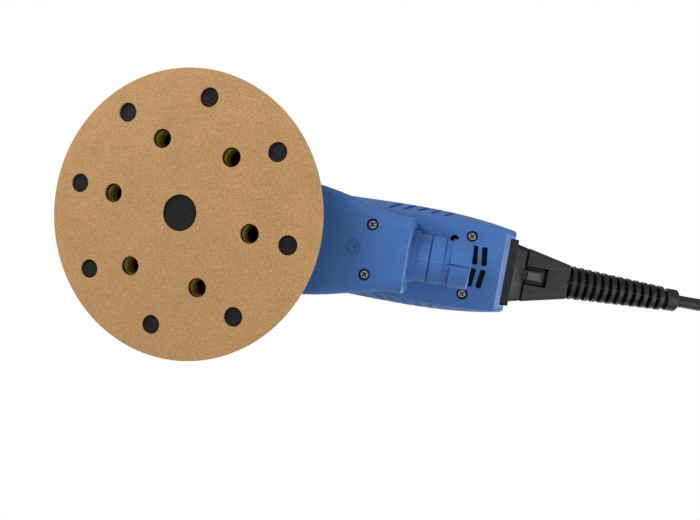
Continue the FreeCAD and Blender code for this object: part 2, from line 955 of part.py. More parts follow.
def lower_housing():
    half_space = block(-longer, longer, -longer, longer, 0, handle_joint)
    shell = housing_shell().common(half_space)
    parts = [shell]
    half = rib_thickness / 2
    for i in range(rib_count):
        rib = block(sleeve_radius, head_inner + overlap, -half, half, motor_plate_top, stack_top)
        rib = rib.cut(cylinder(sleeve_radius, 0, stack_top + over))
        rib.rotate(vec(0, 0, 0), vec(0, 0, 1), rib_start_deg + i * 360 / rib_count)
        parts.append(rib.common(half_space))
    floor = handle_bottom + handle_wall - overlap
    for x, y in duct_screw_spots():
        parts.append(cylinder(screw_boss_radius, floor, handle_bottom + duct_screw_bite, x, y))
    for x, y in handle_screw_spots():
        parts.append(cylinder(screw_boss_radius, floor, handle_joint, x, y))
    for x, y in board_post_spots():
        parts.append(cylinder(board_post_radius, floor, board_bottom, x, y))
    spare_x = handle_end - spare_hole_from_end
    spare_top = handle_bottom + spare_hole_depth
    parts.append(cylinder(screw_boss_radius, floor, spare_top + spare_boss_floor, spare_x, spare_hole_y))
    body = union(parts)
    low = handle_bottom - over
    pilot_top = handle_bottom + duct_screw_bite - over
    tools = side_grooves() + vent_slots() + head_side_vents()
    tools.append(cylinder(spare_hole_radius, low, spare_top, spare_x, spare_hole_y))
    for x, y in duct_screw_spots():
        tools.append(cylinder(screw_shank_radius, low, pilot_top, x, y))
    for x, y in handle_screw_spots():
        tools.append(cylinder(screw_recess_radius, low, handle_bottom + screw_recess_depth, x, y))
        tools.append(cylinder(screw_shank_radius, low, handle_joint + over, x, y))
    return cut_all(body, tools)


def upper_housing():
    half_space = block(-longer, longer, -longer, longer, handle_joint, longer)
    shell = housing_shell().common(half_space)
    ceiling = handle_top - handle_wall
    boss_radius = small_outer_radius + bearing_boss_wall
    boss = ring(boss_radius, small_outer_radius, upper_bearing_bottom, head_inside_top + overlap)
    lug_start = lever_pin_x - lug_radius
    lug_end = lever_pin_x + lug_radius
    lug = block(lug_start, lug_end, -lug_half, lug_half, handle_top - over, lever_pin_z)
    axle = vec(lever_pin_x, -lug_half, lever_pin_z)
    crown = Part.makeCylinder(lug_radius, 2 * lug_half, axle, vec(0, 1, 0))
    parts = [shell, boss, lug, crown]
    for x, y in handle_screw_spots():
        parts.append(cylinder(screw_post_radius, handle_joint, ceiling + overlap, x, y))
    body = union(parts)
    tools = [lever_pin_tool(lever_pin_radius)]
    for x, y in handle_screw_spots():
        tools.append(cylinder(screw_shank_radius, handle_joint - over, handle_joint + duct_screw_bite, x, y))
    tools += keypad_bores(ceiling - over, handle_top + over)
    return cut_all(body, tools)


def palm_grip():
    # soft cap that carries the rounded shoulder up over the motor
    top = head_top + grip_height
    crown = head_crown_radius * grip_crown_share
    middle = head_crown_radius * grip_bulge_share
    p0 = vec(0, 0, head_top)
    p1 = vec(head_crown_radius, 0, head_top)
    mid = vec(middle, 0, head_top + grip_height * grip_bulge_rise)
    p2 = vec(crown, 0, top)
    p3 = vec(0, 0, top)
    edges = [
        Part.LineSegment(p0, p1).toShape(),
        Part.Arc(p1, mid, p2).toShape(),
        Part.LineSegment(p2, p3).toShape(),
        Part.LineSegment(p3, p0).toShape(),
    ]
    return Part.Face(Part.Wire(edges)).revolve(vec(0, 0, 0), vec(0, 0, 1), 360)


# ---- shroud, duct and spigot

def duct_section(x, half, low_round, inset):
    low = duct_floor + inset
    high = handle_bottom - inset
    wide = half - inset
    corners = [vec(x, -wide, low), vec(x, wide, low), vec(x, wide, high), vec(x, -wide, high)]
    low_radius = max(low_round - inset, duct_top_round)
    return rounded_wire(corners, [low_radius, low_radius, duct_top_round, duct_top_round])


def duct_loft(inset, end):
    # the lower edges round off more and more towards the spigot
    stations = [
        (duct_start, duct_root_half, duct_root_round),
        (duct_shoulder_at, duct_shoulder_half, duct_root_round),
        (duct_mid_at, duct_mid_half, duct_mid_round),
        (duct_neck_at, duct_neck_half, duct_neck_round),
        (end, duct_end_half, duct_end_round),
    ]
    return Part.makeLoft([duct_section(x, half, low, inset) for x, half, low in stations], True, False)


def shroud_skirt():
    # round skirt over the pad with a sloping roof up to the flange
    outer = turned([
        (0, shroud_bottom),
        (shroud_radius, shroud_bottom),
        (shroud_radius - skirt_draft, shroud_shoulder),
        (head_radius, flange_top),
        (0, flange_top),
    ])
    inner = turned([
        (0, shroud_bottom - over),
        (shroud_inner, shroud_bottom - over),
        (shroud_inner - skirt_draft, shroud_shoulder - skirt_draft),
        (head_radius - flange_ledge, flange_bottom),
        (0, flange_bottom),
    ])
    return outer, inner


def dust_shroud():
    outer, inner = shroud_skirt()
    duct = duct_loft(0, duct_end)
    rim = [e for e in duct.Edges if e.BoundBox.XMin > duct_end - pick]
    duct = duct.makeFillet(duct_rim_round, rim)
    duct = duct.cut(cylinder(head_radius, flange_top, handle_bottom + over))
    bore = duct_loft(duct_wall, duct_end - duct_wall)
    bore = bore.cut(cylinder(head_radius + duct_wall, flange_bottom, handle_bottom + over))
    body = outer.fuse(duct).cut(inner).cut(bore)
    body = body.cut(cylinder(plate_hub_radius + flange_gap, flange_bottom - over, flange_top + over))
    floor = duct_floor + overlap
    posts = [cylinder(screw_boss_radius, floor, handle_bottom, x, y) for x, y in duct_screw_spots()]
    body = union([body] + posts)
    tools = flange_screw_bores()
    low = duct_floor - over
    for x, y in duct_screw_spots():
        tools.append(cylinder(screw_recess_radius, low, duct_floor + screw_recess_depth, x, y))
        tools.append(cylinder(screw_shank_radius, low, handle_bottom + over, x, y))
    seat = duct_end - spigot_insert
    tools.append(along_x(spigot_radius, seat, duct_end + over, 0, spigot_axis_height))
    tools.append(cylinder(shroud_inner - skirt_draft, shroud_bottom - over, shroud_shoulder))
    return cut_all(body, tools)


def dust_spigot():
    x = duct_end
    seat = x - spigot_insert
    axis = spigot_axis_height
    parts = [along_x(spigot_radius, seat, x, 0, axis)]
    parts.append(along_x(spigot_lip_radius, x, x + spigot_lip, 0, axis))
    x = x + spigot_lip
    for i in range(spigot_ring_count):
        parts.append(along_x(spigot_radius, x, x + spigot_ring_length, 0, axis))
        x = x + spigot_ring_length
        parts.append(along_x(spigot_neck_radius, x, x + spigot_groove, 0, axis))
        x = x + spigot_groove
    slit_start = x + spigot_slit_start
    parts.append(along_x(spigot_neck_radius, x, x + spigot_neck_length, 0, axis))
    x = x + spigot_neck_length
    end = spigot_end()
    tip = along_x(spigot_radius, x, end, 0, axis)
    end_edges = [e for e in tip.Edges if e.BoundBox.XMin > end - pick]
    parts.append(tip.makeChamfer(spigot_chamfer, end_edges))
    body = union(parts)
    body = body.cut(along_x(spigot_bore, seat - over, end + over, 0, axis))
    slit = block(slit_start, end - spigot_slit_end, 0, spigot_slit, 0, axis - spigot_bore + over)
    return body.cut(slit)


def spigot_end():
    rings = spigot_ring_count * (spigot_ring_length + spigot_groove)
    return duct_end + spigot_lip + rings + spigot_neck_length + spigot_tip_length


def brake_seal():
    outer = shroud_inner - skirt_draft
    return ring(outer, outer - seal_width, plate_top + seal_gap, plate_top + seal_gap + seal_height)


# ---- screws

def cross_screw(x, y, low, length):
    # pan head at the bottom with a cross recess, shank upwards
    head = cylinder(screw_head_radius, low, low + screw_head_height, x, y)
    rim = [e for e in head.Edges if abs(e.BoundBox.ZMax - low) < pick]
    head = head.makeFillet(screw_head_round, rim)
    shank = cylinder(screw_shank_radius, low + screw_head_height - overlap, low + length, x, y)
    body = union([head, shank])
    half = cross_width / 2
    for angle in (45, 135):
        arm = block(-cross_reach, cross_reach, -half, half, low - over, low + cross_depth)
        arm.rotate(vec(0, 0, 0), vec(0, 0, 1), angle)
        arm.translate(vec(x, y, 0))
        body = body.cut(arm)
    return body


def duct_screws():
    low = duct_floor + screw_recess_depth - screw_head_height
    length = handle_bottom + duct_screw_bite - over - screw_tip_gap - low
    return Part.makeCompound([cross_screw(x, y, low, length) for x, y in duct_screw_spots()])


def handle_screws():
    low = handle_bottom + screw_recess_depth - screw_head_height
    length = handle_joint + duct_screw_bite - screw_tip_gap - low
    return Part.makeCompound([cross_screw(x, y, low, length) for x, y in handle_screw_spots()])


def flange_screws():
    low = flange_bottom - screw_head_height
    length = motor_plate_top - low
    return Part.makeCompound([cross_screw(x, y, low, length) for x, y in flange_screw_spots()])


# ---- lever

def lever_pin_tool(radius):
    half = lug_half + ear_gap + ear_thickness
    return Part.makeCylinder(radius, 2 * half, vec(lever_pin_x, -half, lever_pin_z), vec(0, 1, 0))


def lever():
    high = lever_under + lever_thickness
    plate = rounded_plate(lever_start, lever_start + lever_length, lever_half, lever_under, high, lever_round)
    top = [e for e in plate.Edges if e.BoundBox.ZMin > high - pick]
    plate = plate.makeFillet(lever_edge_round, top)
    parts = [plate]
    inner = lug_half + ear_gap
    web_start = lever_pin_x - ear_radius
    web_end = lever_pin_x + ear_radius
    for y0 in (inner, -inner - ear_thickness):
        y1 = y0 + ear_thickness
        eye = Part.makeCylinder(ear_radius, ear_thickness, vec(lever_pin_x, y0, lever_pin_z), vec(0, 1, 0))
        web = block(web_start, web_end, y0, y1, lever_pin_z, lever_under + over)
        parts.append(eye)
        parts.append(web)
    body = union(parts)
    magnet_x = lever_start + lever_length - magnet_from_tip
    tools = [lever_pin_tool(lever_pin_radius + running_gap)]
    pocket_top = lever_under + lever_magnet_height
    tools.append(cylinder(lever_magnet_radius, lever_under - over, pocket_top, magnet_x, 0))
    return cut_all(body, tools)


def lever_magnet():
    magnet_x = lever_start + lever_length - magnet_from_tip
    return cylinder(lever_magnet_radius, lever_under, lever_under + lever_magnet_height, magnet_x, 0)


def lever_pin():
    return lever_pin_tool(lever_pin_radius)


def lever_spring():
    x = lever_pin_x + spring_at
    height = lever_clear - 2 * spring_wire_radius
    pitch = height / spring_turns
    helix = Part.makeHelix(pitch, height, spring_radius)
    start = vec(spring_radius, 0, 0)
    profile = Part.Wire([Part.Circle(start, vec(0, 1, 0), spring_wire_radius).toShape()])
    spring = Part.Wire(helix).makePipeShell([profile], True, True)
    spring.translate(vec(x, 0, handle_top + spring_wire_radius))
    return spring


# ---- keypad and controller

def button_spots():
    return [-button_pitch, 0.0, button_pitch]


def keypad_bores(low, high):
    wide = button_radius + button_gap
    bores = [cylinder(wide, low, high, keypad_x + button_row, y) for y in button_spots()]
    bores.append(cylinder(lens_radius, low, high, keypad_x + lens_row, 0))
    return bores


def keypad_bezel():
    high = handle_top + keypad_height
    plate = rounded_plate(keypad_x, keypad_x + keypad_length, keypad_half, handle_top, high, keypad_round)
    tools = keypad_bores(handle_top - over, high + over)
    return cut_all(plate, tools)


def button(y):
    top = handle_top + keypad_height + button_proud
    low = handle_top - keypad_board_drop + board_thickness + switch_height + button_travel + switch_gap
    body = cylinder(button_radius, low, top, keypad_x + button_row, y)
    rim = [e for e in body.Edges if abs(e.BoundBox.ZMin - top) < pick]
    return body.makeFillet(button_round, rim)


def indicator_lens():
    top = handle_top + keypad_height + lens_proud
    return cylinder(lens_radius, handle_top - handle_wall, top, keypad_x + lens_row, 0)


def keypad_board():
    low = handle_top - keypad_board_drop
    end = handle_end - socket_depth - keypad_board_gap
    half = keypad_half - keypad_board_gap
    return block(keypad_x + keypad_board_gap, end, -half, half, low, low + board_thickness)


def tact_switches():
    low = handle_top - keypad_board_drop + board_thickness
    high = low + switch_height
    half = switch_half
    x0 = keypad_x + button_row - half
    x1 = keypad_x + button_row + half
    return Part.makeCompound([block(x0, x1, y - half, y + half, low, high) for y in button_spots()])


def controller_board():
    return block(board_start, board_start + board_length, -board_half, board_half, board_bottom, board_top)


def lever_sensor():
    x = lever_start + lever_length - magnet_from_tip
    ceiling = handle_top - handle_wall
    half = sensor_half
    return block(x - half, x + half, -half, half, ceiling - sensor_height, ceiling)


def capacitors():
    z = board_top + capacitor_radius
    x0 = board_start + sink_from_end + sink_length + capacitor_gap
    x1 = x0 + capacitor_length
    rows = [-capacitor_spread, capacitor_spread]
    return Part.makeCompound([along_x(capacitor_radius, x0, x1, y, z) for y in rows])


def choke():
    x = board_start + board_length - choke_from_end
    return Part.makeTorus(choke_radius, choke_wire_radius, vec(x, 0, board_top + choke_wire_radius))


def heat_sink():
    x0 = board_start + sink_from_end
    x1 = x0 + sink_length
    parts = [block(x0, x1, -sink_half, sink_half, board_top, board_top + sink_base)]
    pitch = (2 * sink_half - sink_fin_thickness) / (sink_fins - 1)
    for i in range(sink_fins):
        y = -sink_half + i * pitch
        parts.append(block(x0, x1, y, y + sink_fin_thickness, board_top, board_top + sink_height))
    return union(parts)


def motor_wires():
    wires = []
    high = stack_top + sleeve_overhang + wire_radius + wire_clearance
    start_x = stator_radius - stator_yoke + motor_wire_inset
    end_x = board_start + wire_board_inset
    for y in (-motor_wire_pitch, 0.0, motor_wire_pitch):
        start = vec(start_x, y, stack_top + wire_coil_gap)
        route = [start, vec(start.x, y, high), vec(end_x, y, high), vec(end_x, y, board_top)]
        wires.append(tube(route, wire_radius)[0])
    return Part.makeCompound(wires)


def supply_wires():
    wires = []
    x0 = handle_end - socket_depth
    x1 = board_start + board_length - supply_wire_inset
    for side in (-1, 1):
        y = side * contact_pitch / 2
        dip = x0 - wire_dip_run
        rise = lead_height + wire_rise
        route = [vec(x0, y, lead_height), vec(dip, y, lead_height), vec(x1, y, rise), vec(x1, y, board_top)]
        wires.append(tube(route, wire_radius)[0])
    return Part.makeCompound(wires)


# ---- power inlet, plug and lead

def latch_level():
    return lead_height - socket_tip_half_height


def latch_pivot():
    return vec(socket_end - latch_pivot_inset, 0, latch_level() + latch_thickness / 2)


def nose_shape(start, end, gap):
    wires = [
        end_frame(start, nose_half + gap, nose_half_height + gap, nose_round),
        end_frame(end, nose_half + gap, nose_half_height + gap, nose_round),
    ]
    return Part.makeLoft(wires, True, True)


def power_socket():
    back = handle_end - socket_depth
    rim_end = handle_end + socket_rim
    rim = Part.makeLoft([rim_frame(handle_end - rim_notch), rim_frame(rim_end)], True, True)
    root = end_frame(rim_end, socket_collar_half, socket_collar_half_height, socket_round)
    tip = end_frame(socket_end, socket_tip_half, socket_tip_half_height, socket_round)
    body = socket_seat(handle_end).fuse(rim).fuse(Part.makeLoft([root, tip], True, True))
    mouth = nose_shape(socket_end - nose_length - nose_gap, socket_end + over, nose_gap)
    pivot = latch_pivot()
    wide = latch_half + running_gap
    seat_radius = latch_root_radius + running_gap
    seat = Part.makeCylinder(seat_radius, 2 * wide, vec(pivot.x, -wide, pivot.z), vec(0, 1, 0))
    slot_low = pivot.z - latch_slot_drop
    slot_high = pivot.z + latch_thickness / 2 + latch_slot_gap
    slot = block(pivot.x, socket_end + over, -wide, wide, slot_low, slot_high)
    pins = [along_x(contact_radius, back, socket_end, y, lead_height) for y in contact_spots()]
    return cut_all(body.removeSplitter(), [mouth, seat, slot] + pins)


def contact_spots():
    return [-contact_pitch / 2, contact_pitch / 2]


def socket_contacts():
    start = handle_end - socket_depth
    stop = socket_end - nose_length - nose_gap + contact_length
    return Part.makeCompound([along_x(contact_radius, start, stop, y, lead_height) for y in contact_spots()])


def latch_tongue():
    pivot = latch_pivot()
    low = latch_level()
    half = latch_half
    root = Part.makeCylinder(latch_root_radius, 2 * half, vec(pivot.x, -half, pivot.z), vec(0, 1, 0))
    arm = block(pivot.x, socket_end + latch_length, -half, half, low, low + latch_thickness)
    catch_end = socket_end + latch_length - catch_from_end
    catch_start = catch_end - catch_length
    wide = half - catch_inset
    catch = block(catch_start, catch_end, -wide, wide, low - catch_height, low + overlap)
    return union([root, arm, catch])


def plug_body():
    root = end_frame(plug_start, socket_tip_half, socket_tip_half_height, socket_round)
    tip = end_frame(plug_end, plug_tip_half, plug_tip_half_height, socket_round)
    body = Part.makeLoft([root, tip], True, True)
    nose = nose_shape(socket_end - nose_length, plug_start + over, 0)
    body = body.fuse(nose).removeSplitter()
    low = latch_level()
    half = latch_half + latch_gap
    window_end = socket_end + latch_length + latch_gap
    window_top = low + latch_thickness + latch_travel
    window = block(plug_start - over, window_end, -half, half, low - 2 * over, window_top)
    hole_start = socket_end - nose_length - over
    hole_end = socket_end - nose_length + contact_length + over
    wide = contact_radius + contact_gap
    holes = [along_x(wide, hole_start, hole_end, y, lead_height) for y in contact_spots()]
    return cut_all(body, [window] + holes)


def strain_relief():
    rib_zone = relief_length - relief_collar_length
    pitch = rib_zone / relief_ribs
    rib = pitch * relief_rib_share
    core_start = relief_root_radius - relief_core_drop
    core_end = relief_tip_radius - relief_core_drop
    base = vec(plug_end, 0, lead_height)
    parts = [Part.makeCone(core_start, core_end, rib_zone + overlap, base, vec(1, 0, 0))]
    for i in range(relief_ribs):
        x = plug_end + i * pitch
        share = i / (relief_ribs - 1)
        radius = relief_root_radius + (relief_tip_radius - relief_root_radius) * share
        parts.append(along_x(radius, x, x + rib, 0, lead_height))
    collar_start = relief_end - relief_collar_length
    parts.append(along_x(relief_collar_radius, collar_start, relief_end, 0, lead_height))
    return union(parts)


def cord_lead():
    first = vec(relief_end, 0, lead_height)
    bend = vec(relief_end + first_run, 0, lead_height)
    bench = vec(bend.x + drop_reach, 0, cord_radius)
    last = vec(bench.x + bench_run, 0, cord_radius)
    return tube([first, bend, bench, last], cord_radius, "cord_lead")


def cord_coil():
    corners = [
        vec(coil_x + coil_inner, coil_y, 0),
        vec(coil_x + coil_outer, coil_y, 0),
        vec(coil_x + coil_outer, coil_y, coil_height),
        vec(coil_x + coil_inner, coil_y, coil_height),
    ]
    face = Part.Face(rounded_wire(corners, [coil_round] * 4))
    return face.revolve(vec(coil_x, coil_y, 0), vec(0, 0, 1), 360)


def cord_tail():
    first = vec(coil_x - tail_overlap, tail_y, tail_z)
    bend = vec(coil_x - tail_run, tail_y, tail_z)
    low = vec(bend.x - tail_drop_reach, tail_y, mains_z)
    last = vec(low.x - tail_end_run, tail_y, mains_z)
    return tube([first, bend, low, last], cord_radius, "cord_tail")


def mains_plug():
    waist_x = mains_cord_x - mains_waist_at
    high = mains_half_height
    neck = end_frame(mains_cord_x, mains_neck_half, mains_neck_half_height, mains_neck_round, tail_y, mains_z)
    waist = end_frame(waist_x, mains_waist_half, high, mains_round, tail_y, mains_z)
    face = end_frame(mains_face_x, mains_half, high, mains_round, tail_y, mains_z)
    body = Part.makeLoft([neck, waist], True, True).fuse(Part.makeLoft([waist, face], True, True))
    return body.removeSplitter()


def mains_pins():
    pins = []
    for side in (-1, 1):
        end = mains_face_x - mains_pin_length
        y = tail_y + side * mains_pin_pitch / 2
        pin = along_x(mains_pin_radius, end, mains_face_x, y, mains_z)
        tip = [e for e in pin.Edges if e.BoundBox.XMax < end + pick]
        pins.append(pin.makeFillet(mains_pin_round, tip))
    return Part.makeCompound(pins)


def save(name, shape):
    bad = [s for s in shape.Solids if not s.isValid()]
    print(name, "solids", len(shape.Solids), "volume", round(shape.Volume, 1), "INVALID" if bad else "")
    shape.exportStep("parts/" + name + ".step")


def main():
    os.makedirs("parts", exist_ok=True)
    makers = [
        abrasive_disc, pad_hook_face, pad_foam, pad_backing_plate, pad_stud, pad_spindle, spindle_keeper,
        pad_bearing_inner_rings, pad_bearing_outer_rings, lower_bearing_inner, lower_bearing_outer,
        upper_bearing_inner, upper_bearing_outer, wave_washer, motor_shaft, counterweight, rotor_core,
        rotor_magnets, cooling_fan, stator_core, stator_windings, stator_sleeve, motor_plate,
        lower_housing, upper_housing, palm_grip, dust_shroud, dust_spigot, brake_seal, duct_screws,
        handle_screws, flange_screws, lever, lever_magnet, lever_pin, lever_spring, keypad_bezel,
        indicator_lens, keypad_board, tact_switches, controller_board, lever_sensor, capacitors, choke,
        heat_sink, motor_wires, supply_wires, power_socket, socket_contacts, latch_tongue, plug_body,
        strain_relief, cord_coil, mains_plug, mains_pins,
    ]
    for maker in makers:
        save(maker.__name__, maker())
    save("speed_down_button", button(-button_pitch))
    save("power_button", button(0.0))
    save("speed_up_button", button(button_pitch))
    lead, lead_length = cord_lead()
    tail, tail_length = cord_tail()
    save("cord_lead", lead)
    save("cord_tail", tail)
    turns = coil_columns * coil_layers
    coiled = turns * 2 * math.pi * coil_mean_radius
    print("cord length", round(lead_length + coiled + tail_length, 0), "coiled", round(coiled, 0))
    levels = [cup_top, motor_plate_top, stack_bottom, head_top, spigot_end()]
    print("levels", [round(level, 2) for level in levels])


main()
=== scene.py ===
import json
import math
import bmesh
import bpy
import numpy as np
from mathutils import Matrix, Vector


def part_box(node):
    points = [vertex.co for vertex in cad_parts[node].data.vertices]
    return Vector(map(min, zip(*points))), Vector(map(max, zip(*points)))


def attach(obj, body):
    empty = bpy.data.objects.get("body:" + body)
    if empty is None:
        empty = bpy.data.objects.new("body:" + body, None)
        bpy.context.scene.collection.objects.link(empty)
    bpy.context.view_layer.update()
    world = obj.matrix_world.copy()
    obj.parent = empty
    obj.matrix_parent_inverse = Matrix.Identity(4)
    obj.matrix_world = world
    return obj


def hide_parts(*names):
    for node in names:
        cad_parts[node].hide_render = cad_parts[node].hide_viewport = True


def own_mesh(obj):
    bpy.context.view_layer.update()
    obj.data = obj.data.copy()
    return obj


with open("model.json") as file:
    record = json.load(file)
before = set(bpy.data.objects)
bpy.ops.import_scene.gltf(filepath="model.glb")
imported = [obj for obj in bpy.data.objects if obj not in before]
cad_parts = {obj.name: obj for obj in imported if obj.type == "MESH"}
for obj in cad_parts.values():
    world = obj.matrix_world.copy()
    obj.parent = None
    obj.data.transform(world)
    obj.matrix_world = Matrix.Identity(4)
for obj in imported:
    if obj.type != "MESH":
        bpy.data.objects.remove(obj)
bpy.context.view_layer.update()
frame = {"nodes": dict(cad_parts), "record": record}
nodes = frame["nodes"]
bodies = frame["record"]["behaviour"]["bodies"]
print("frame loaded,", len(nodes), "nodes")


def nodeBody(name):
    # the CAD body that carries a node
    for body, members in bodies.items():
        if name in members:
            return body


# Camera, under the sander and looking up at the pad

cameraLook = {"place": (0.1363175, -0.0062253, -0.2350176), "turn": (178.94172, -11.05274, -9.77192), "lens": 25.714}
camera = bpy.data.objects.new("camera", bpy.data.cameras.new("camera"))
camera.location = cameraLook["place"]
camera.rotation_euler = [math.radians(angle) for angle in cameraLook["turn"]]
camera.data.lens = cameraLook["lens"]
camera.data.sensor_width = 36.0
camera.data.clip_start = 0.01
bpy.context.collection.objects.link(camera)
bpy.context.scene.camera = camera
bpy.context.scene.view_settings.view_transform = "Standard"
print("camera ready")


# Shader maths: a Wire is one output socket, and sums or products of wires become Math nodes

class Wire:
    def __init__(self, tree, socket=None):
        self.tree = tree
        self.socket = socket

    def node(self, kind, settings=None, inputs=None, output=0):
        made = self.tree.nodes.new("ShaderNode" + kind)
        for key, value in (settings or {}).items():
            if key == "stops":  # a ramp's stops are (place, colour) pairs
                while len(made.color_ramp.elements) < len(value):
                    made.color_ramp.elements.new(0.5)
                for stop, (place, colour) in zip(made.color_ramp.elements, value):
                    stop.position = place
                    stop.color = colour
            else:
                setattr(made, key, value)
        for key, value in (inputs or {}).items():
            if isinstance(value, Wire):
                self.tree.links.new(value.socket, made.inputs[key])
            else:
                made.inputs[key].default_value = value
        return Wire(self.tree, made.outputs[output] if len(made.outputs) else None)

    def maths(self, operation, first, second=0.0):
        return self.node("Math", {"operation": operation}, {0: first, 1: second})

    def __add__(self, other):
        return self.maths("ADD", self, other)

    def __radd__(self, other):
        return self.maths("ADD", other, self)

    def __sub__(self, other):
        return self.maths("SUBTRACT", self, other)

    def __rsub__(self, other):
        return self.maths("SUBTRACT", other, self)

    def __mul__(self, other):
        return self.maths("MULTIPLY", self, other)

    def __rmul__(self, other):
        return self.maths("MULTIPLY", other, self)

    def clipped(self, low, high):
        # 0 below low, 1 above high, straight between them
        return self.node("MapRange", {"clamp": True}, {"Value": self, "From Min": low, "From Max": high})

    def tint(self, first, second):
        # first colour where the wire is 0, second where it is 1
        return self.node("Mix", {"data_type": "RGBA"}, {0: self, 6: first, 7: second}, 2)

    def place(self, scale=(1, 1, 1), turn=(0, 0, 0)):
        # object coordinates in metres, stretched and turned
        here = self.node("TexCoord", output=3)
        return self.node("Mapping", {}, {"Vector": here, "Scale": scale, "Rotation": turn})

    def noise(self, size, detail=2.0, rough=0.5, at=None):
        # soft noise whose features are about size metres across
        at = at or self.place()
        return self.node("TexNoise", {}, {"Vector": at, "Scale": 1 / size, "Detail": detail, "Roughness": rough})

    def cells(self, size, feature="F1", at=None):
        at = at or self.place()
        return self.node("TexVoronoi", {"feature": feature}, {"Vector": at, "Scale": 1 / size})

    def bump(self, height, depth, strength=1.0):
        return self.node("Bump", {}, {"Height": height, "Distance": depth, "Strength": strength})


def makeMaterial(name, surface):
    # surface(wire) returns the sockets of one Principled shader
    material = bpy.data.materials.new(name)
    material.use_nodes = True
    material.node_tree.nodes.clear()
    wire = Wire(material.node_tree)
    shader = wire.node("BsdfPrincipled", {}, surface(wire))
    wire.node("OutputMaterial", {}, {"Surface": shader})
    return material


def colour(red, green, blue):
    return (red, green, blue, 1.0)


def shade(tone, share):
    return (tone[0] * share, tone[1] * share, tone[2] * share, 1.0)


# Moulded plastics and rubbers share one recipe with their own colour, grain and gloss

def mouldedPlastic(name, tone, grain=0.00035, grainDepth=0.00002, gloss=(0.36, 0.5),
                   drift=0.08, specular=0.5, coat=0.0):
    def surface(wire):
        cloudy = wire.noise(0.035, 3)
        fine = wire.noise(grain, 3, 0.6)
        speck = wire.noise(0.0021, 2).clipped(0.35, 0.75)
        mix = (cloudy * 0.6 + speck * 0.4).clipped(0.25, 0.7)
        wear = wire.noise(0.006, 4, 0.65).clipped(0.42, 0.62)
        return {
            "Base Color": mix.tint(shade(tone, 1 - drift), shade(tone, 1 + drift)),
            "Roughness": gloss[0] + wear * (gloss[1] - gloss[0]),
            "Specular IOR Level": specular,
            "Coat Weight": coat,
            "Coat Roughness": 0.3,
            "Normal": wire.bump(fine + speck * 0.4, grainDepth, 0.6),
        }
    return makeMaterial(name, surface)


def softRubber(name, tone, dimple=0.0016, dimpleDepth=0.00008, gloss=(0.55, 0.72)):
    def surface(wire):
        pits = wire.cells(dimple).clipped(0.05, 0.42)
        dust = wire.noise(0.004, 4, 0.7).clipped(0.5, 0.72)
        fine = wire.noise(0.0003, 2)
        return {
            "Base Color": dust.tint(shade(tone, 1.0), shade(tone, 1.5)),
            "Roughness": gloss[0] + dust * (gloss[1] - gloss[0]),
            "Specular IOR Level": 0.4,
            "Normal": wire.bump(pits + fine * 0.5, dimpleDepth, 0.5),
        }
    return makeMaterial(name, surface)


def brushedMetal(name, tone, rough=(0.18, 0.34), line=0.0002, stretch=(1, 1, 1), depth=0.000006):
    def surface(wire):
        lines = wire.noise(line, 3, 0.6, wire.place(stretch))
        stain = wire.noise(0.005, 3).clipped(0.4, 0.7)
        return {
            "Base Color": stain.tint(shade(tone, 1.0), shade(tone, 0.82)),
            "Metallic": 1.0,
            "Roughness": rough[0] + lines * (rough[1] - rough[0]) + stain * 0.06,
            "Normal": wire.bump(lines, depth, 0.5),
        }
    return makeMaterial(name, surface)


def gritPaper(name):
    gold = (0.56, 0.325, 0.135)

    def surface(wire):
        grain = wire.noise(0.0007, 4, 0.74)
        grit = wire.cells(0.0006)
        blotch = wire.noise(0.022, 4, 0.6).clipped(0.3, 0.7)
        shadeOf = (grain * 0.65 + grit * 0.35).clipped(0.28, 0.62)
        ground = blotch.tint(shade(gold, 1.0), shade(gold, 1.14))
        dark = blotch.tint(colour(0.31, 0.162, 0.056), colour(0.36, 0.19, 0.068))
        # painted glint: small paler specks in the base colour stand in for sparkle off the grit
        paintedGlint = wire.cells(0.0014).clipped(0.13, 0.03)
        lit = shadeOf.tint(dark, ground)
        return {
            "Base Color": (paintedGlint * 0.5).tint(lit, colour(0.84, 0.64, 0.38)),
            "Roughness": 0.72 + grain * 0.2,
            "Specular IOR Level": 0.35,
            "Normal": wire.bump(grain + grit * 0.7, 0.00018, 0.6),
        }
    return makeMaterial(name, surface)


def hookMesh(name):
    def surface(wire):
        loops = wire.cells(0.0011, "DISTANCE_TO_EDGE").clipped(0.03, 0.16)
        fuzz = wire.noise(0.0004, 3)
        mixed = (loops * 0.8 + fuzz * 0.3).clipped(0.2, 1.0)
        return {
            "Base Color": mixed.tint(colour(0.0035, 0.0035, 0.0042), colour(0.016, 0.016, 0.019)),
            "Roughness": 0.7 + fuzz * 0.25,
            "Specular IOR Level": 0.3,
            "Normal": wire.bump(loops + fuzz * 0.6, 0.0003, 0.8),
        }
    return makeMaterial(name, surface)


def openFoam(name):
    def surface(wire):
        pores = wire.cells(0.0011).clipped(0.12, 0.5)
        small = wire.cells(0.0005).clipped(0.1, 0.5)
        mix = pores * 0.65 + small * 0.35
        return {
            "Base Color": mix.tint(colour(0.62, 0.50, 0.045), colour(0.30, 0.22, 0.012)),
            "Roughness": 0.82 + small * 0.14,
            "Specular IOR Level": 0.25,
            "Normal": wire.bump(1 - mix, 0.0004, 0.7),
        }
    return makeMaterial(name, surface)


def windingWire(name):
    def surface(wire):
        turns = wire.node("TexWave", {"wave_type": "BANDS", "bands_direction": "Z"},
                          {"Vector": wire.place(), "Scale": 330.0, "Distortion": 1.2, "Detail": 1.0})
        return {
            "Base Color": turns.tint(colour(0.26, 0.085, 0.03), colour(0.66, 0.27, 0.1)),
            "Metallic": 0.9,
            "Roughness": 0.28 + turns * 0.15,
            "Normal": wire.bump(turns, 0.0003, 0.8),
        }
    return makeMaterial(name, surface)


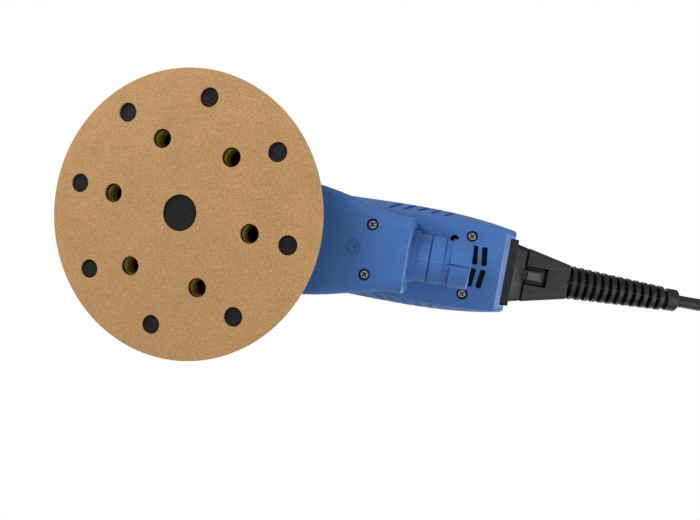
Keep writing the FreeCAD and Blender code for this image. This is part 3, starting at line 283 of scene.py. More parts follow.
def laminatedSteel(name):
    def surface(wire):
        sheets = wire.node("TexWave", {"wave_type": "BANDS", "bands_direction": "Z"},
                           {"Vector": wire.place(), "Scale": 640.0, "Distortion": 0.3})
        spots = wire.noise(0.002, 4, 0.7).clipped(0.5, 0.8)
        return {
            "Base Color": spots.tint(colour(0.30, 0.31, 0.33), colour(0.2, 0.16, 0.12)),
            "Metallic": 0.95,
            "Roughness": 0.36 + sheets * 0.14,
            "Normal": wire.bump(sheets, 0.0001, 0.6),
        }
    return makeMaterial(name, surface)


def solderMask(name):
    def surface(wire):
        tracks = wire.cells(0.0042, "DISTANCE_TO_EDGE").clipped(0.05, 0.07)
        fine = wire.noise(0.0006, 2)
        return {
            "Base Color": tracks.tint(colour(0.03, 0.2, 0.085), colour(0.012, 0.1, 0.045)),
            "Roughness": 0.28 + fine * 0.12,
            "Normal": wire.bump(1 - tracks, 0.00004, 0.7),
        }
    return makeMaterial(name, surface)


def clearLens(name):
    def surface(wire):
        cloud = wire.noise(0.0008, 2)
        return {
            "Base Color": cloud.tint(colour(0.05, 0.38, 0.1), colour(0.12, 0.6, 0.2)),
            "Roughness": 0.08 + cloud * 0.06,
            "Coat Weight": 0.6,
            "Normal": wire.bump(cloud, 0.00003, 0.4),
        }
    return makeMaterial(name, surface)


def wireScreen(name):
    def surface(wire):
        weave = {"wave_type": "BANDS", "wave_profile": "SIN"}
        along = wire.node("TexWave", dict(weave, bands_direction="X"), {"Vector": wire.place(), "Scale": 420.0})
        across = wire.node("TexWave", dict(weave, bands_direction="Y"), {"Vector": wire.place(), "Scale": 420.0})
        strand = along.maths("MAXIMUM", along, across).clipped(0.62, 0.9)
        return {
            "Base Color": strand.tint(colour(0.0015, 0.0015, 0.0015), colour(0.006, 0.006, 0.007)),
            "Roughness": 0.8 - strand * 0.25,
            "Normal": wire.bump(strand, 0.0001, 0.6),
        }
    return makeMaterial(name, surface)


finishes = {
    "abrasive_grit": gritPaper("gritPaper"),
    "hook_fabric": hookMesh("hookMesh"),
    "pad_foam": openFoam("oliveFoam"),
    "pad_plate": mouldedPlastic("glassFilledNylon", (0.018, 0.018, 0.02), grain=0.0005,
                                gloss=(0.5, 0.68), drift=0.25),
    "blue_plastic": mouldedPlastic("mouldedBlue", (0.05, 0.155, 0.44), grain=0.00042, grainDepth=0.00003,
                                   gloss=(0.34, 0.46), drift=0.05),
    "black_soft": softRubber("softTouchBlack", (0.017, 0.017, 0.019)),
    "black_plastic": mouldedPlastic("satinBlack", (0.0125, 0.0138, 0.0175), grain=0.0004,
                                    gloss=(0.38, 0.5), drift=0.15, specular=0.36),
    "steel": brushedMetal("groundSteel", (0.56, 0.56, 0.57), stretch=(1, 1, 0.08)),
    "screw_steel": brushedMetal("brightZinc", (0.66, 0.65, 0.63), rough=(0.22, 0.36)),
    "magnet": brushedMetal("darkNickel", (0.22, 0.22, 0.23), rough=(0.3, 0.45)),
    "aluminium": brushedMetal("castAluminium", (0.62, 0.63, 0.65), rough=(0.35, 0.5), line=0.0006, depth=0.00003),
    "lamination": laminatedSteel("laminatedSteel"),
    "copper": windingWire("enamelledCopper"),
    "seal_rubber": softRubber("sealRubber", (0.02, 0.02, 0.02), dimple=0.0008),
    "circuit_board": solderMask("solderMask"),
    "component_black": mouldedPlastic("componentBlack", (0.018, 0.018, 0.02), grain=0.0002,
                                      gloss=(0.4, 0.55), drift=0.2),
    "capacitor_film": mouldedPlastic("capacitorSleeve", (0.02, 0.035, 0.09), gloss=(0.16, 0.26), drift=0.1),
    "ferrite": mouldedPlastic("ferriteRing", (0.07, 0.07, 0.075), grain=0.0003, gloss=(0.42, 0.6), drift=0.2),
    "button_grey": mouldedPlastic("buttonGrey", (0.19, 0.2, 0.21), gloss=(0.36, 0.48)),
    "button_green": mouldedPlastic("buttonGreen", (0.03, 0.27, 0.085), gloss=(0.36, 0.48)),
    "lens": clearLens("statusLens"),
    "contact_brass": brushedMetal("tinnedBrass", (0.74, 0.62, 0.36), rough=(0.16, 0.28), stretch=(0.1, 1, 1)),
    "cord_rubber": softRubber("cordJacket", (0.016, 0.016, 0.018), dimple=0.0005,
                              dimpleDepth=0.00002, gloss=(0.4, 0.55)),
    "wire_insulation": mouldedPlastic("wireInsulation", (0.36, 0.035, 0.03), gloss=(0.3, 0.42)),
}
# painted shade: near-black woven finish for the sheet behind the vents
ventShadeFinish = wireScreen("ventShadeScreen")
# painted shade: near-black finish for the screw crosses, the seat rings, the spare hole liner and the latch window
# plate
paintedShadeFinish = mouldedPlastic("paintedRecessShade", (0.006, 0.006, 0.006), grain=0.0003, gloss=(0.6, 0.8), drift=0.4)
print("finishes made,", len(finishes) + 2)

slotOf = {row["node"]: row["material_slot"] for row in frame["record"]["subparts"]}
for name, item in nodes.items():
    item.data.materials.clear()
    item.data.materials.append(finishes[slotOf[name]])


# Stage: pale floor seen only from above, and a plain white surround

def makeStage():
    floorMesh = bpy.data.meshes.new("floor")
    reach = 15.0
    drop = -0.0005  # just under the sanding face
    corners = [(-reach, -reach, drop), (reach, -reach, drop), (reach, reach, drop), (-reach, reach, drop)]
    floorMesh.from_pydata(corners, [], [(0, 1, 2, 3)])
    floor = bpy.data.objects.new("floor", floorMesh)
    bpy.context.collection.objects.link(floor)
    material = bpy.data.materials.new("paleFloor")
    material.use_nodes = True
    material.node_tree.nodes.clear()
    wire = Wire(material.node_tree)
    under = wire.node("NewGeometry", output="Backfacing")
    soft = wire.noise(0.25, 2)
    top = wire.node("BsdfPrincipled", {}, {
        "Base Color": soft.tint(colour(0.62, 0.62, 0.61), colour(0.66, 0.66, 0.65)),
        "Roughness": 0.8,
        "Emission Color": soft.tint(colour(0.95, 0.95, 0.94), colour(1.0, 1.0, 0.99)),
        "Emission Strength": 0.34,
    })
    through = wire.node("BsdfTransparent")
    wire.node("OutputMaterial", {}, {"Surface": wire.node("MixShader", {}, {0: under, 1: top, 2: through})})
    floorMesh.materials.append(material)
    floor.visible_shadow = False
    floor.visible_diffuse = False
    floor.visible_glossy = False


def makeSurround(strength):
    world = bpy.data.worlds.new("studio")
    bpy.context.scene.world = world
    world.use_nodes = True
    world.node_tree.nodes.clear()
    wire = Wire(world.node_tree)
    seen = wire.node("LightPath", output="Is Camera Ray")
    wire.node("OutputWorld", {}, {"Surface": wire.node("Background", {}, {
        "Color": colour(1, 1, 1), "Strength": seen * (1.0 - strength) + strength})})


def makeLight(name, place, aim, size, power, gloss=1.0):
    lamp = bpy.data.lights.new(name, "AREA")
    lamp.shape = "DISK"
    lamp.size = size
    lamp.energy = power
    lamp.specular_factor = gloss
    item = bpy.data.objects.new(name, lamp)
    item.location = place
    item.rotation_euler = (Vector(aim) - Vector(place)).to_track_quat("-Z", "Y").to_euler()
    item.visible_camera = False
    bpy.context.collection.objects.link(item)


makeStage()
makeSurround(0.34)
middle = (0.06, 0.0, 0.03)
makeLight("lowKey", (-0.42, -0.42, -0.33), middle, 0.5, 4.7)
makeLight("tailFill", (0.44, 0.06, -0.17), (0.13, 0.0, 0.05), 0.3, 0.95, gloss=0.1)
makeLight("highKey", (-0.55, -0.25, 1.3), middle, 1.0, 15.0)
makeLight("highFill", (0.9, 0.9, 0.9), middle, 1.1, 7.0)
print("stage and lights ready")


# Mesh helpers

def gridShape(points, closeU=False, closeV=True, capStart=False, capEnd=False):
    # a grid of points, rows along u and columns round v, as vertices and quads
    rows, columns = points.shape[:2]
    index = np.arange(rows * columns).reshape(rows, columns)
    across = np.roll(index, -1, axis=1)
    quads = np.stack([index, across, np.roll(across, -1, axis=0), np.roll(index, -1, axis=0)], axis=-1)
    if not closeU:
        quads = quads[:-1]
    if not closeV:
        quads = quads[:, :-1]
    faces = quads.reshape(-1, 4).tolist()
    if capStart:
        faces.append(index[0][::-1].tolist())
    if capEnd:
        faces.append(index[-1].tolist())
    return points.reshape(-1, 3), faces


def joined(shapes):
    # several vertex and face lists as one
    points = []
    faces = []
    count = 0
    for corners, polygons in shapes:
        points.append(corners)
        faces += [[i + count for i in polygon] for polygon in polygons]
        count += len(corners)
    return np.concatenate(points), faces


def showPiece(name, mesh, finish, body, stands=(), bevel=0.0, angle=30.0, steps=2, look=None):
    item = bpy.data.objects.new(name, mesh)
    bpy.context.collection.objects.link(item)
    mesh.materials.clear()
    mesh.materials.append(look or finishes[finish])
    mesh.polygons.foreach_set("use_smooth", np.ones(len(mesh.polygons), bool))
    mesh.set_sharp_from_angle(angle=math.radians(angle))
    if bevel:
        soften = item.modifiers.new("soften", "BEVEL")
        soften.width = bevel
        soften.segments = steps
        soften.limit_method = "ANGLE"
        soften.angle_limit = math.radians(angle)
        soften.harden_normals = True
        soften.miter_outer = "MITER_ARC"
    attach(item, body)
    if stands:
        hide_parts(*stands)
    return item


def makePiece(name, shape, finish, body, stands=(), **edges):
    points, faces = shape
    mesh = bpy.data.meshes.new(name)
    mesh.from_pydata(points.tolist(), [], faces)
    work = bmesh.new()
    work.from_mesh(mesh)
    bmesh.ops.remove_doubles(work, verts=work.verts, dist=1e-6)
    bmesh.ops.recalc_face_normals(work, faces=work.faces)
    work.to_mesh(mesh)
    work.free()
    return showPiece(name, mesh, finish, body, stands, **edges)


def refined(node, name, bevel=0.0004, angle=28.0, steps=2, flat=0.25):
    # the node's own shape with its triangles merged into clean faces and its edges softened
    mesh = nodes[node].data.copy()
    mesh.name = name
    work = bmesh.new()
    work.from_mesh(mesh)
    bmesh.ops.remove_doubles(work, verts=work.verts, dist=2e-6)
    bmesh.ops.dissolve_limit(work, angle_limit=math.radians(flat), verts=work.verts, edges=work.edges)
    work.to_mesh(mesh)
    work.free()
    return showPiece(name, mesh, slotOf[node], nodeBody(node), [node], bevel, angle, steps)


def roundedOutline(wide, high, corner, steps=6):
    # points round a rectangle with rounded corners, its half sizes wide and high
    angles = np.linspace(0, np.pi / 2, steps)
    turns = (angles[None, :] + np.arange(4)[:, None] * np.pi / 2).ravel()
    signs = np.array([(1, 1), (-1, 1), (-1, -1), (1, -1)]).repeat(steps, axis=0)
    middle = signs * np.array([wide - corner, high - corner])
    return middle + corner * np.stack([np.cos(turns), np.sin(turns)], axis=1)


# Cord: out of the strain relief, down to the bench and into a coil

cordLook = {
    "radius": 0.00325,
    "lead": [(0.2612, 0, 0.067), (0.3012, 0, 0.067), (0.3432, 0, 0.00325), (0.4032, 0, 0.00325)],
    "tail": [(0.4032, 0.09795, 0.023275), (0.3802, 0.09795, 0.023275),
             (0.3422, 0.09795, 0.0082), (0.3282, 0.09795, 0.0082)],
    "coilCentre": (0.4112, 0.048975),
    "innerTurn": 0.029025,
    "pitch": 0.00665,
    "firstHeight": 0.003325,
    "perTurn": 24,
    "turns": 14.5,
    "columnSteps": [(360, -1), (720, -1), (1080, -1), (1680, 1), (2040, 1), (2400, 1),
                    (3000, -1), (3360, -1), (3720, -1), (4320, 1), (4680, 1), (5040, 1)],
    "layerSteps": [1380, 2700, 4020],
    "stepTurn": 150.0,
}


def coilRoute(look):
    # angle along the coil; column and layer ease from one turn to the next
    angle = np.arange(0, look["turns"] * 360 + 1, 360 / look["perTurn"])

    def eased(ends):
        share = np.clip((angle[:, None] - (np.array(ends) - look["stepTurn"])) / look["stepTurn"], 0, 1)
        return share * share * (3 - 2 * share)
    ends, signs = np.array(look["columnSteps"]).T
    column = 3 + eased(ends) @ signs
    layer = eased(look["layerSteps"]).sum(axis=1)
    outward = 1 / (0.75 + 0.25 * math.cos(2 * math.pi / look["perTurn"]))
    radius = (look["innerTurn"] + column * look["pitch"]) * outward
    turn = np.radians(angle - 90)
    middleX, middleY = look["coilCentre"]
    height = look["firstHeight"] + layer * look["pitch"]
    return np.stack([middleX + radius * np.cos(turn), middleY + radius * np.sin(turn), height], axis=1)


def makeCord(look):
    route = np.concatenate([look["lead"], coilRoute(look), look["tail"]])
    curve = bpy.data.curves.new("powerCord", "CURVE")
    curve.dimensions = "3D"
    curve.bevel_depth = look["radius"]
    curve.bevel_resolution = 5
    curve.use_fill_caps = True
    line = curve.splines.new("NURBS")
    line.points.add(len(route) - 1)
    line.points.foreach_set("co", np.column_stack([route, np.ones(len(route))]).ravel())
    line.order_u = 3
    line.use_endpoint_u = True
    line.resolution_u = 4
    line.use_smooth = True
    curve.materials.append(finishes["cord_rubber"])
    cord = bpy.data.objects.new("powerCord", curve)
    bpy.context.collection.objects.link(cord)
    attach(cord, "housing")
    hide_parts("cord_lead", "cord_coil", "cord_tail")
    return cord


powerCord = makeCord(cordLook)
print("cord laid")


# Mains plug on the far end of the cord

mainsLook = {
    "middle": (0.09795, 0.0082),
    "frames": [  # place along x, half width, half height, corner
        (0.3282, 0.0052, 0.0048, 0.0036), (0.3240, 0.0060, 0.0052, 0.0040), (0.3180, 0.0092, 0.0066, 0.0050),
        (0.3125, 0.0140, 0.0080, 0.0055), (0.3100, 0.0152, 0.0082, 0.0056), (0.3075, 0.0146, 0.0076, 0.0055),
        (0.3050, 0.0158, 0.0082, 0.0058), (0.3025, 0.0152, 0.0076, 0.0057), (0.3000, 0.0166, 0.0082, 0.0060),
        (0.2975, 0.0172, 0.0082, 0.0062), (0.2930, 0.0175, 0.0082, 0.0064), (0.2922, 0.0168, 0.0075, 0.0060),
    ],
}


def makeMainsPlug(look):
    # one rounded rectangle per frame, joined in order along x
    middleY, middleZ = look["middle"]
    rings = []
    for x, wide, high, corner in look["frames"]:
        outline = roundedOutline(wide, high, corner, 8)
        rings.append(np.column_stack([np.full(len(outline), x), middleY + outline[:, 0], middleZ + outline[:, 1]]))
    shape = gridShape(np.array(rings), capStart=True, capEnd=True)
    return makePiece("mainsPlug", shape, "cord_rubber", "housing", ["mains_plug"], angle=40)


mainsPlug = makeMainsPlug(mainsLook)
mainsPins = refined("mains_pins", "mainsPins", bevel=0.0)
print("mains plug ready")


# Housings, shroud and spigot keep their CAD shape, with softened moulding edges

pieces = {}
for node, name, bevel in [
    ("lower_housing", "lowerShell", 0.0004), ("upper_housing", "upperShell", 0.0004),
    ("dust_shroud", "dustShroud", 0.0005), ("dust_spigot", "dustSpigot", 0.0003),
    ("power_socket", "inletCollar", 0.0004), ("latch_tongue", "latchTongue", 0.00025),
    ("plug_body", "plugBody", 0.0005), ("lever", "triggerLever", 0.0004),
    ("keypad_bezel", "keypadBezel", 0.0003), ("power_button", "powerKey", 0.0002),
    ("speed_up_button", "fasterKey", 0.0002), ("speed_down_button", "slowerKey", 0.0002),
    ("duct_screws", "ductScrews", 0.00012), ("handle_screws", "handleScrews", 0.00012),
    ("abrasive_disc", "abrasiveDisc", 0.00012), ("pad_foam", "padFoam", 0.0005),
    ("pad_backing_plate", "padPlate", 0.0004), ("pad_hook_face", "hookFace", 0.00012),
]:
    pieces[name] = refined(node, name, bevel)
print("mouldings refined")


# Small raised shapes shared by the trim pieces

ridgeSink = 0.0001  # how far the foot of a ridge goes into the piece that it stands on
ridgeTaper = 8  # the share of the length that tapers at each end is one over this
acrossSteps = 7


def ridge(start, end, half, height, down=True, steps=9):
    # a bar between two points: its top is height times (1 - across to the fourth), tapering to nothing at both ends
    start = np.array(start)
    end = np.array(end)
    along = (end - start) / np.linalg.norm(end - start)
    side = np.array([-along[1], along[0], 0.0])
    share = np.linspace(0, 1, steps)
    across = np.linspace(-1, 1, acrossSteps)
    swell = np.clip(np.minimum(share, 1 - share) * ridgeTaper, 0, 1)
    rise = height * swell[:, None] ** 0.5 * (1 - across[None, :] ** 4)
    base = start + share[:, None, None] * (end - start) + across[None, :, None] * half * side
    base[..., 2] += -rise if down else rise
    floor = base[:, ::-1].copy()
    floor[..., 2] = start[2] + (ridgeSink if down else -ridgeSink)
    return gridShape(np.concatenate([base, floor], axis=1), capStart=True, capEnd=True)


def ringRidge(middle, radius, half, height, down=True, sweep=(0.0, 360.0)):
    # a ring or arc: its section is height times (1 - across to the fourth), carried round a circle
    whole = sweep[1] - sweep[0] >= 360
    turn = np.radians(np.linspace(sweep[0], sweep[1], 49)[:-1] if whole else np.linspace(sweep[0], sweep[1], 37))
    across = np.linspace(-1, 1, acrossSteps)
    level = np.concatenate([height * (1 - across ** 4), np.full(acrossSteps, -ridgeSink)])
    reach = radius + half * np.concatenate([across, across[::-1]])
    sign = -1 if down else 1
    points = np.stack([middle[0] + np.cos(turn)[:, None] * reach, middle[1] + np.sin(turn)[:, None] * reach,
                       np.broadcast_to(middle[2] + sign * level, (len(turn), 2 * acrossSteps))], axis=-1)
    return gridShape(points, closeU=whole, capStart=not whole, capEnd=not whole)


# Screws: bright heads, a dark cross of painted shade in each recess, and a black seat ring of painted shade round
# each head

screwLook = {"seatInner": 0.00236, "seatOuter": 0.00312, "seatRise": 0.0009, "seatTop": 1.7,
             "crossReach": 0.0017, "crossFloor": 0.00005, "crossDepth": 0.0010}


def screwSpots(item):
    # middles of the two heads, from the lowest points of the piece on each side of y = 0
    points = np.empty(len(item.data.vertices) * 3)
    item.data.vertices.foreach_get("co", points)
    points = points.reshape(-1, 3)
    spots = []
    for side in (-1, 1):
        chosen = points[points[:, 1] * side > 0]
        lowest = chosen.min(axis=0)
        highest = chosen.max(axis=0)
        spots.append(((lowest[0] + highest[0]) / 2, (lowest[1] + highest[1]) / 2, lowest[2]))
    return spots


def paintCrossShade(item, spots, look):
    # faces inside the cross are those close to a screw's axis and just above its lowest plane; their near-black
    # finish is painted shade in the cross recess
    mesh = item.data
    mesh.materials.append(paintedShadeFinish)
    middles = np.empty(len(mesh.polygons) * 3)
    mesh.polygons.foreach_get("center", middles)
    middles = middles.reshape(-1, 3)
    inside = np.zeros(len(middles), bool)
    for x, y, z in spots:
        near = np.hypot(middles[:, 0] - x, middles[:, 1] - y) < look["crossReach"]
        inside |= near & (middles[:, 2] > z + look["crossFloor"]) & (middles[:, 2] < z + look["crossDepth"])
    mesh.polygons.foreach_set("material_index", inside.astype(np.int32))


def makeShadeRings(name, spots, look, body):
    # flat rings of rectangular section round the heads, from seatRise up to seatTop times it; they are near-black
    # painted shade in the gap between head and recess wall
    rings = []
    for x, y, z in spots:
        turn = np.radians(np.arange(0, 360, 7.5))
        reach = np.array([look["seatInner"], look["seatOuter"], look["seatOuter"], look["seatInner"]])
        level = z + look["seatRise"] * np.array([1.0, 1.0, look["seatTop"], look["seatTop"]])
        points = np.stack([x + np.cos(turn)[:, None] * reach, y + np.sin(turn)[:, None] * reach,
                           np.broadcast_to(level, (len(turn), 4))], axis=-1)
        rings.append(gridShape(points, closeU=True))
    return makePiece(name, joined(rings), "component_black", body, look=paintedShadeFinish)


for name, body in [("ductScrews", nodeBody("duct_screws")), ("handleScrews", nodeBody("handle_screws"))]:
    spots = screwSpots(pieces[name])
    paintCrossShade(pieces[name], spots, screwLook)
    makeShadeRings(name + "Seats", spots, screwLook, body)
print("screws dressed")


# Vent screen: a thin near-black woven sheet just above the lower shell's floor, a dark sheet of painted shade that
# makes the vents read black

screenLook = {"x": (0.1492, 0.1605), "y": (-0.0118, 0.0118), "z": 0.0572, "wall": 0.0003,
              "wave": 0.00012, "waves": 9, "span": 0.0113}  # waves in each span


def makeVentScreen(look):
    # height is a level plus a small sine wave along x times a cosine wave along y
    along = np.linspace(*look["x"], 40)[:, None]
    across = np.linspace(*look["y"], 60)[None, :]
    waves, span = look["waves"], look["span"]
    ripple = np.sin(along * 2 * np.pi * waves / span) * np.cos(across * 2 * np.pi * waves / span)
    points = np.stack(np.broadcast_arrays(along, across, look["z"] + look["wave"] * ripple), axis=-1)
    screen = makePiece("ventShadeScreen", gridShape(points, closeV=False), "component_black",
                       nodeBody("lower_housing"), look=ventShadeFinish)
    wall = screen.modifiers.new("wall", "SOLIDIFY")
    wall.thickness = look["wall"]
    return screen


makeVentScreen(screenLook)


# Dust duct: mould-date ring on its floor, and the parting seam along the spigot

dateLook = {"middle": (0.0887, 0.0, 0.02), "outer": 0.0038, "inner": 0.0022, "half": 0.0002,
            "height": 0.00034, "ticks": 12, "tickHalf": 0.00016, "tickInset": 0.0003, "tickStart": 0.0006,
            "shaft": 0.0014, "tip": 0.0015, "barb": (0.0006, 0.0008), "barbHalf": 0.00014}


def makeDateRing(look):
    # two rings with ticks between them at equal turns, and an arrow of three ridges in the middle
    x, y, z = look["middle"]
    shapes = [ringRidge(look["middle"], look[ring], look["half"], look["height"]) for ring in ("outer", "inner")]
    for turn in np.radians(np.arange(look["ticks"]) * 360 / look["ticks"]):
        far = look["outer"] - look["tickInset"]
        near = look["inner"] + look["tickStart"]
        start = (x + near * math.cos(turn), y + near * math.sin(turn), z)
        end = (x + far * math.cos(turn), y + far * math.sin(turn), z)
        shapes.append(ridge(start, end, look["tickHalf"], look["height"]))
    shaft = look["shaft"]
    shapes.append(ridge((x - shaft, y, z), (x + shaft, y, z), look["tickHalf"], look["height"]))
    for side in (-1, 1):
        barb = (x + look["barb"][0], y + side * look["barb"][1], z)
        shapes.append(ridge((x + look["tip"], y, z), barb, look["barbHalf"], look["height"]))
    return makePiece("dateRing", joined(shapes), "blue_plastic", nodeBody("dust_shroud"), angle=50)


makeDateRing(dateLook)


# Spare screw hole: a dark liner, closed at its top, painted shade that makes the hole read black

linerLook = {"middle": (0.139, -0.0134), "low": 0.0546, "high": 0.05995,
             "radius": 0.00238, "wall": 0.00012, "pip": 0.00004}  # pip is the radius left open in the middle


def makeHoleLiner(look):
    # a cup turned from its section: up the outside, over the closed top and down the inside
    reach = np.array([look["radius"] - look["wall"], look["radius"], look["radius"], look["pip"]])
    level = np.array([look["low"], look["low"], look["high"], look["high"]])
    inner = np.array([look["pip"], look["radius"] - look["wall"]])
    reach = np.concatenate([reach, inner])
    level = np.concatenate([level, np.full(2, look["high"] - look["wall"])])
    turn = np.radians(np.arange(0, 360, 10.0))
    x, y = look["middle"]
    points = np.stack([x + reach[:, None] * np.cos(turn), y + reach[:, None] * np.sin(turn),
                       np.broadcast_to(level[:, None], (len(level), len(turn)))], axis=-1)
    return makePiece("spareHoleShade", gridShape(points, closeU=True), "component_black",
                     nodeBody("lower_housing"), look=paintedShadeFinish)


makeHoleLiner(linerLook)

# painted highlight: the seam ridge is a paler blue than the shell, standing in for the light line along it
seamHighlightFinish = mouldedPlastic("seamHighlightBlue", (0.13, 0.27, 0.58), gloss=(0.28, 0.36))
seamLook = {"axis": 0.038, "half": 0.00022, "height": 0.00024, "side": 0.0003, "sink": 0.0002,
            "profile": [(0.1212, 0.013), (0.1274, 0.013), (0.12745, 0.012), (0.1283, 0.012),
                        (0.12835, 0.013), (0.1349, 0.013), (0.13495, 0.012), (0.1377, 0.012)]}


def makeSpigotSeam(look):
    # a thin ridge under the spigot: its radius follows the rings and necks,
    # and swells across by (1 - across squared)
    # its paler blue finish is a painted highlight along the seam
    x, reach = np.array(look["profile"]).T
    across = np.linspace(-1, 1, 5)
    outer = reach[:, None] + look["height"] * (1 - across[None, :] ** 2)
    inner = np.broadcast_to(reach[:, None] - look["sink"], outer.shape)
    radius = np.concatenate([outer, inner], axis=1)
    side = look["side"] + look["half"] * np.concatenate([across, across[::-1]])
    points = np.stack([np.broadcast_to(x[:, None], radius.shape), np.broadcast_to(side, radius.shape),
                       look["axis"] - np.sqrt(radius ** 2 - side[None, :] ** 2)], axis=-1)
    return makePiece("spigotSeam", gridShape(points, capStart=True, capEnd=True), "blue_plastic",
                     nodeBody("dust_spigot"), angle=40, look=seamHighlightFinish)


makeSpigotSeam(seamLook)
print("duct dressed")


# Strain relief: bars round a tapered core, joined by a spine above and below, with a plain end sleeve

reliefStart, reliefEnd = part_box("strain_relief")
reliefLook = {
    "axis": 0.067, "rootRadius": 0.0096, "tipRadius": 0.0064, "depth": 0.0030,
    "bars": 12, "barShare": 0.54, "firstGap": 0.44, "barFoot": 0.02, "barEase": 0.05,  # shares of the pitch
    "shoulder": 0.9, "spineStand": 0.9, "sideStand": 0.84,  # shares of the depth
    "spine": 0.15, "spineSlope": 90, "sideSpine": 0.5, "sideSlope": 30,
    "collar": 0.0056, "collarRadius": 0.0060, "collarRoot": 0.0042, "collarMouth": 0.0034,
    "rootEdge": 0.0001, "rootDrop": 0.0004, "rootEase": 0.0005, "endRound": 0.0006,
}


def makeStrainRelief(look):
    # radius is the core's plus the depth wherever a bar or a spine stands
    # spines run below, above and along both sides
    start, end = reliefStart[0], reliefEnd[0]
    zone = end - start - look["collar"]
    pitch = zone / (look["bars"] + look["firstGap"])
    share = look["barShare"]
    foot, ease, shoulder = look["barFoot"], look["barEase"], look["shoulder"]
    steps = np.array([-foot, 0.0, ease, 0.5 * share, share - ease, share, share + foot])
    x = (look["firstGap"] + np.arange(look["bars"])[:, None] + steps[None, :]).ravel() * pitch
    stand = np.tile([0.0, shoulder, 1.0, 1.0, 1.0, shoulder, 0.0], look["bars"])
    x = np.concatenate([[0.0], x])
    stand = np.concatenate([[0.0], stand])
    taper = look["rootRadius"] + (look["tipRadius"] - look["rootRadius"]) * np.minimum(x / zone, 1)
    turn = np.radians(np.arange(0, 360, 5.0))
    spine = np.clip((np.abs(np.sin(turn)) - math.cos(look["spine"])) * look["spineSlope"], 0, 1)
    side = np.clip((np.abs(np.cos(turn)) - math.cos(look["sideSpine"])) * look["sideSlope"], 0, 1)
    spines = np.maximum(look["spineStand"] * spine, look["sideStand"] * side)
    stands = np.maximum(stand[:, None], spines[None, :])
    radius = taper[:, None] - look["depth"] * (1 - stands)
    sleeveEnd = zone + look["collar"]
    wide, corner = look["collarRadius"], look["endRound"]
    sleeve = np.array([(zone, look["collarRoot"]), (zone + look["rootEdge"], wide - look["rootDrop"]),
                       (zone + look["rootEase"], wide), (sleeveEnd - corner, wide),
                       (sleeveEnd, wide - corner), (sleeveEnd, look["collarMouth"])])
    x = np.concatenate([x, sleeve[:, 0]])
    radius = np.concatenate([radius, np.broadcast_to(sleeve[:, 1:], (len(sleeve), len(turn)))])
    points = np.stack([np.broadcast_to(start + x[:, None], radius.shape),
                       radius * np.cos(turn), look["axis"] + radius * np.sin(turn)], axis=-1)
    shape = gridShape(points, capStart=True, capEnd=True)
    return makePiece("strainRelief", shape, slotOf["strain_relief"], nodeBody("strain_relief"),
                     ["strain_relief"], angle=35, look=reliefFinish)


reliefFinish = softRubber("reliefRubber", (0.009, 0.009, 0.011), dimple=0.0007,
                          dimpleDepth=0.00002, gloss=(0.5, 0.62))
makeStrainRelief(reliefLook)


# Plug arrow: a raised triangle that points at the socket

arrowLook = {"tip": (0.1830, 0.0089), "length": 0.0026, "half": 0.0014,
             "low": 0.05844, "high": 0.0588, "edge": 0.0001, "face": 0.86}  # face is the low end's share


def makePlugArrow(look):
    # three triangles, joined by upright sides and then by sloping ones to the smaller, lowest one
    x, y = look["tip"]
    outline = np.array([(x, y), (x + look["length"], y - look["half"]), (x + look["length"], y + look["half"])])
    middle = outline.mean(axis=0)
    rings = [np.column_stack([middle + (outline - middle) * size, np.full(3, level)]) for size, level in
             [(1.0, look["high"]), (1.0, look["low"] + look["edge"]), (look["face"], look["low"])]]
    shape = gridShape(np.array(rings), capStart=True, capEnd=True)
    return makePiece("plugArrow", shape, "black_plastic", nodeBody("plug_body"), angle=20)


makePlugArrow(arrowLook)

latchLook = {"catchDrop": 0.0001, "shadeLow": 0.06128, "shade": (0.1812, 0.1923), "half": 0.00515,
             "crown": 0.0001, "wall": 0.00012}


def dressLatch(item, look):
    # the catch is the lowest part of the tongue, coloured a paler grey
    # a dark plate of painted shade closes the window above: its height is a level plus a half cosine wave across
    mesh = item.data
    mesh.materials.append(catchFinish)
    middles = np.empty(len(mesh.polygons) * 3)
    mesh.polygons.foreach_get("center", middles)
    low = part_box("latch_tongue")[0][2]
    chosen = middles.reshape(-1, 3)[:, 2] < low + look["catchDrop"]
    mesh.polygons.foreach_set("material_index", chosen.astype(np.int32))
    along = np.linspace(*look["shade"], 12)[:, None]
    across = np.linspace(-look["half"], look["half"], 10)[None, :]
    crown = look["crown"] * np.cos(np.pi * across / look["half"] / 2)
    points = np.stack(np.broadcast_arrays(along, across, look["shadeLow"] + crown), axis=-1)
    plate = makePiece("latchShade", gridShape(points, closeV=False), "black_plastic",
                      nodeBody("plug_body"), look=paintedShadeFinish)
    wall = plate.modifiers.new("wall", "SOLIDIFY")
    wall.thickness = look["wall"]


catchFinish = mouldedPlastic("paleCatch", (0.075, 0.078, 0.084), grain=0.0003, gloss=(0.3, 0.42))
dressLatch(pieces["latchTongue"], latchLook)
print("lead end dressed")


# Palm grip: a soft cap with shallow flutes that fade towards its crown

gripLow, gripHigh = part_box("palm_grip")
gripLook = {"flutes": 28, "fluteDepth": 0.0004, "rimLift": 0.0009, "bulge": 2.35, "fall": 1.7,
            "pole": 0.002, "inset": 0.0002, "fadeStart": 0.45, "fadeReach": 0.3, "rimFade": 0.04}


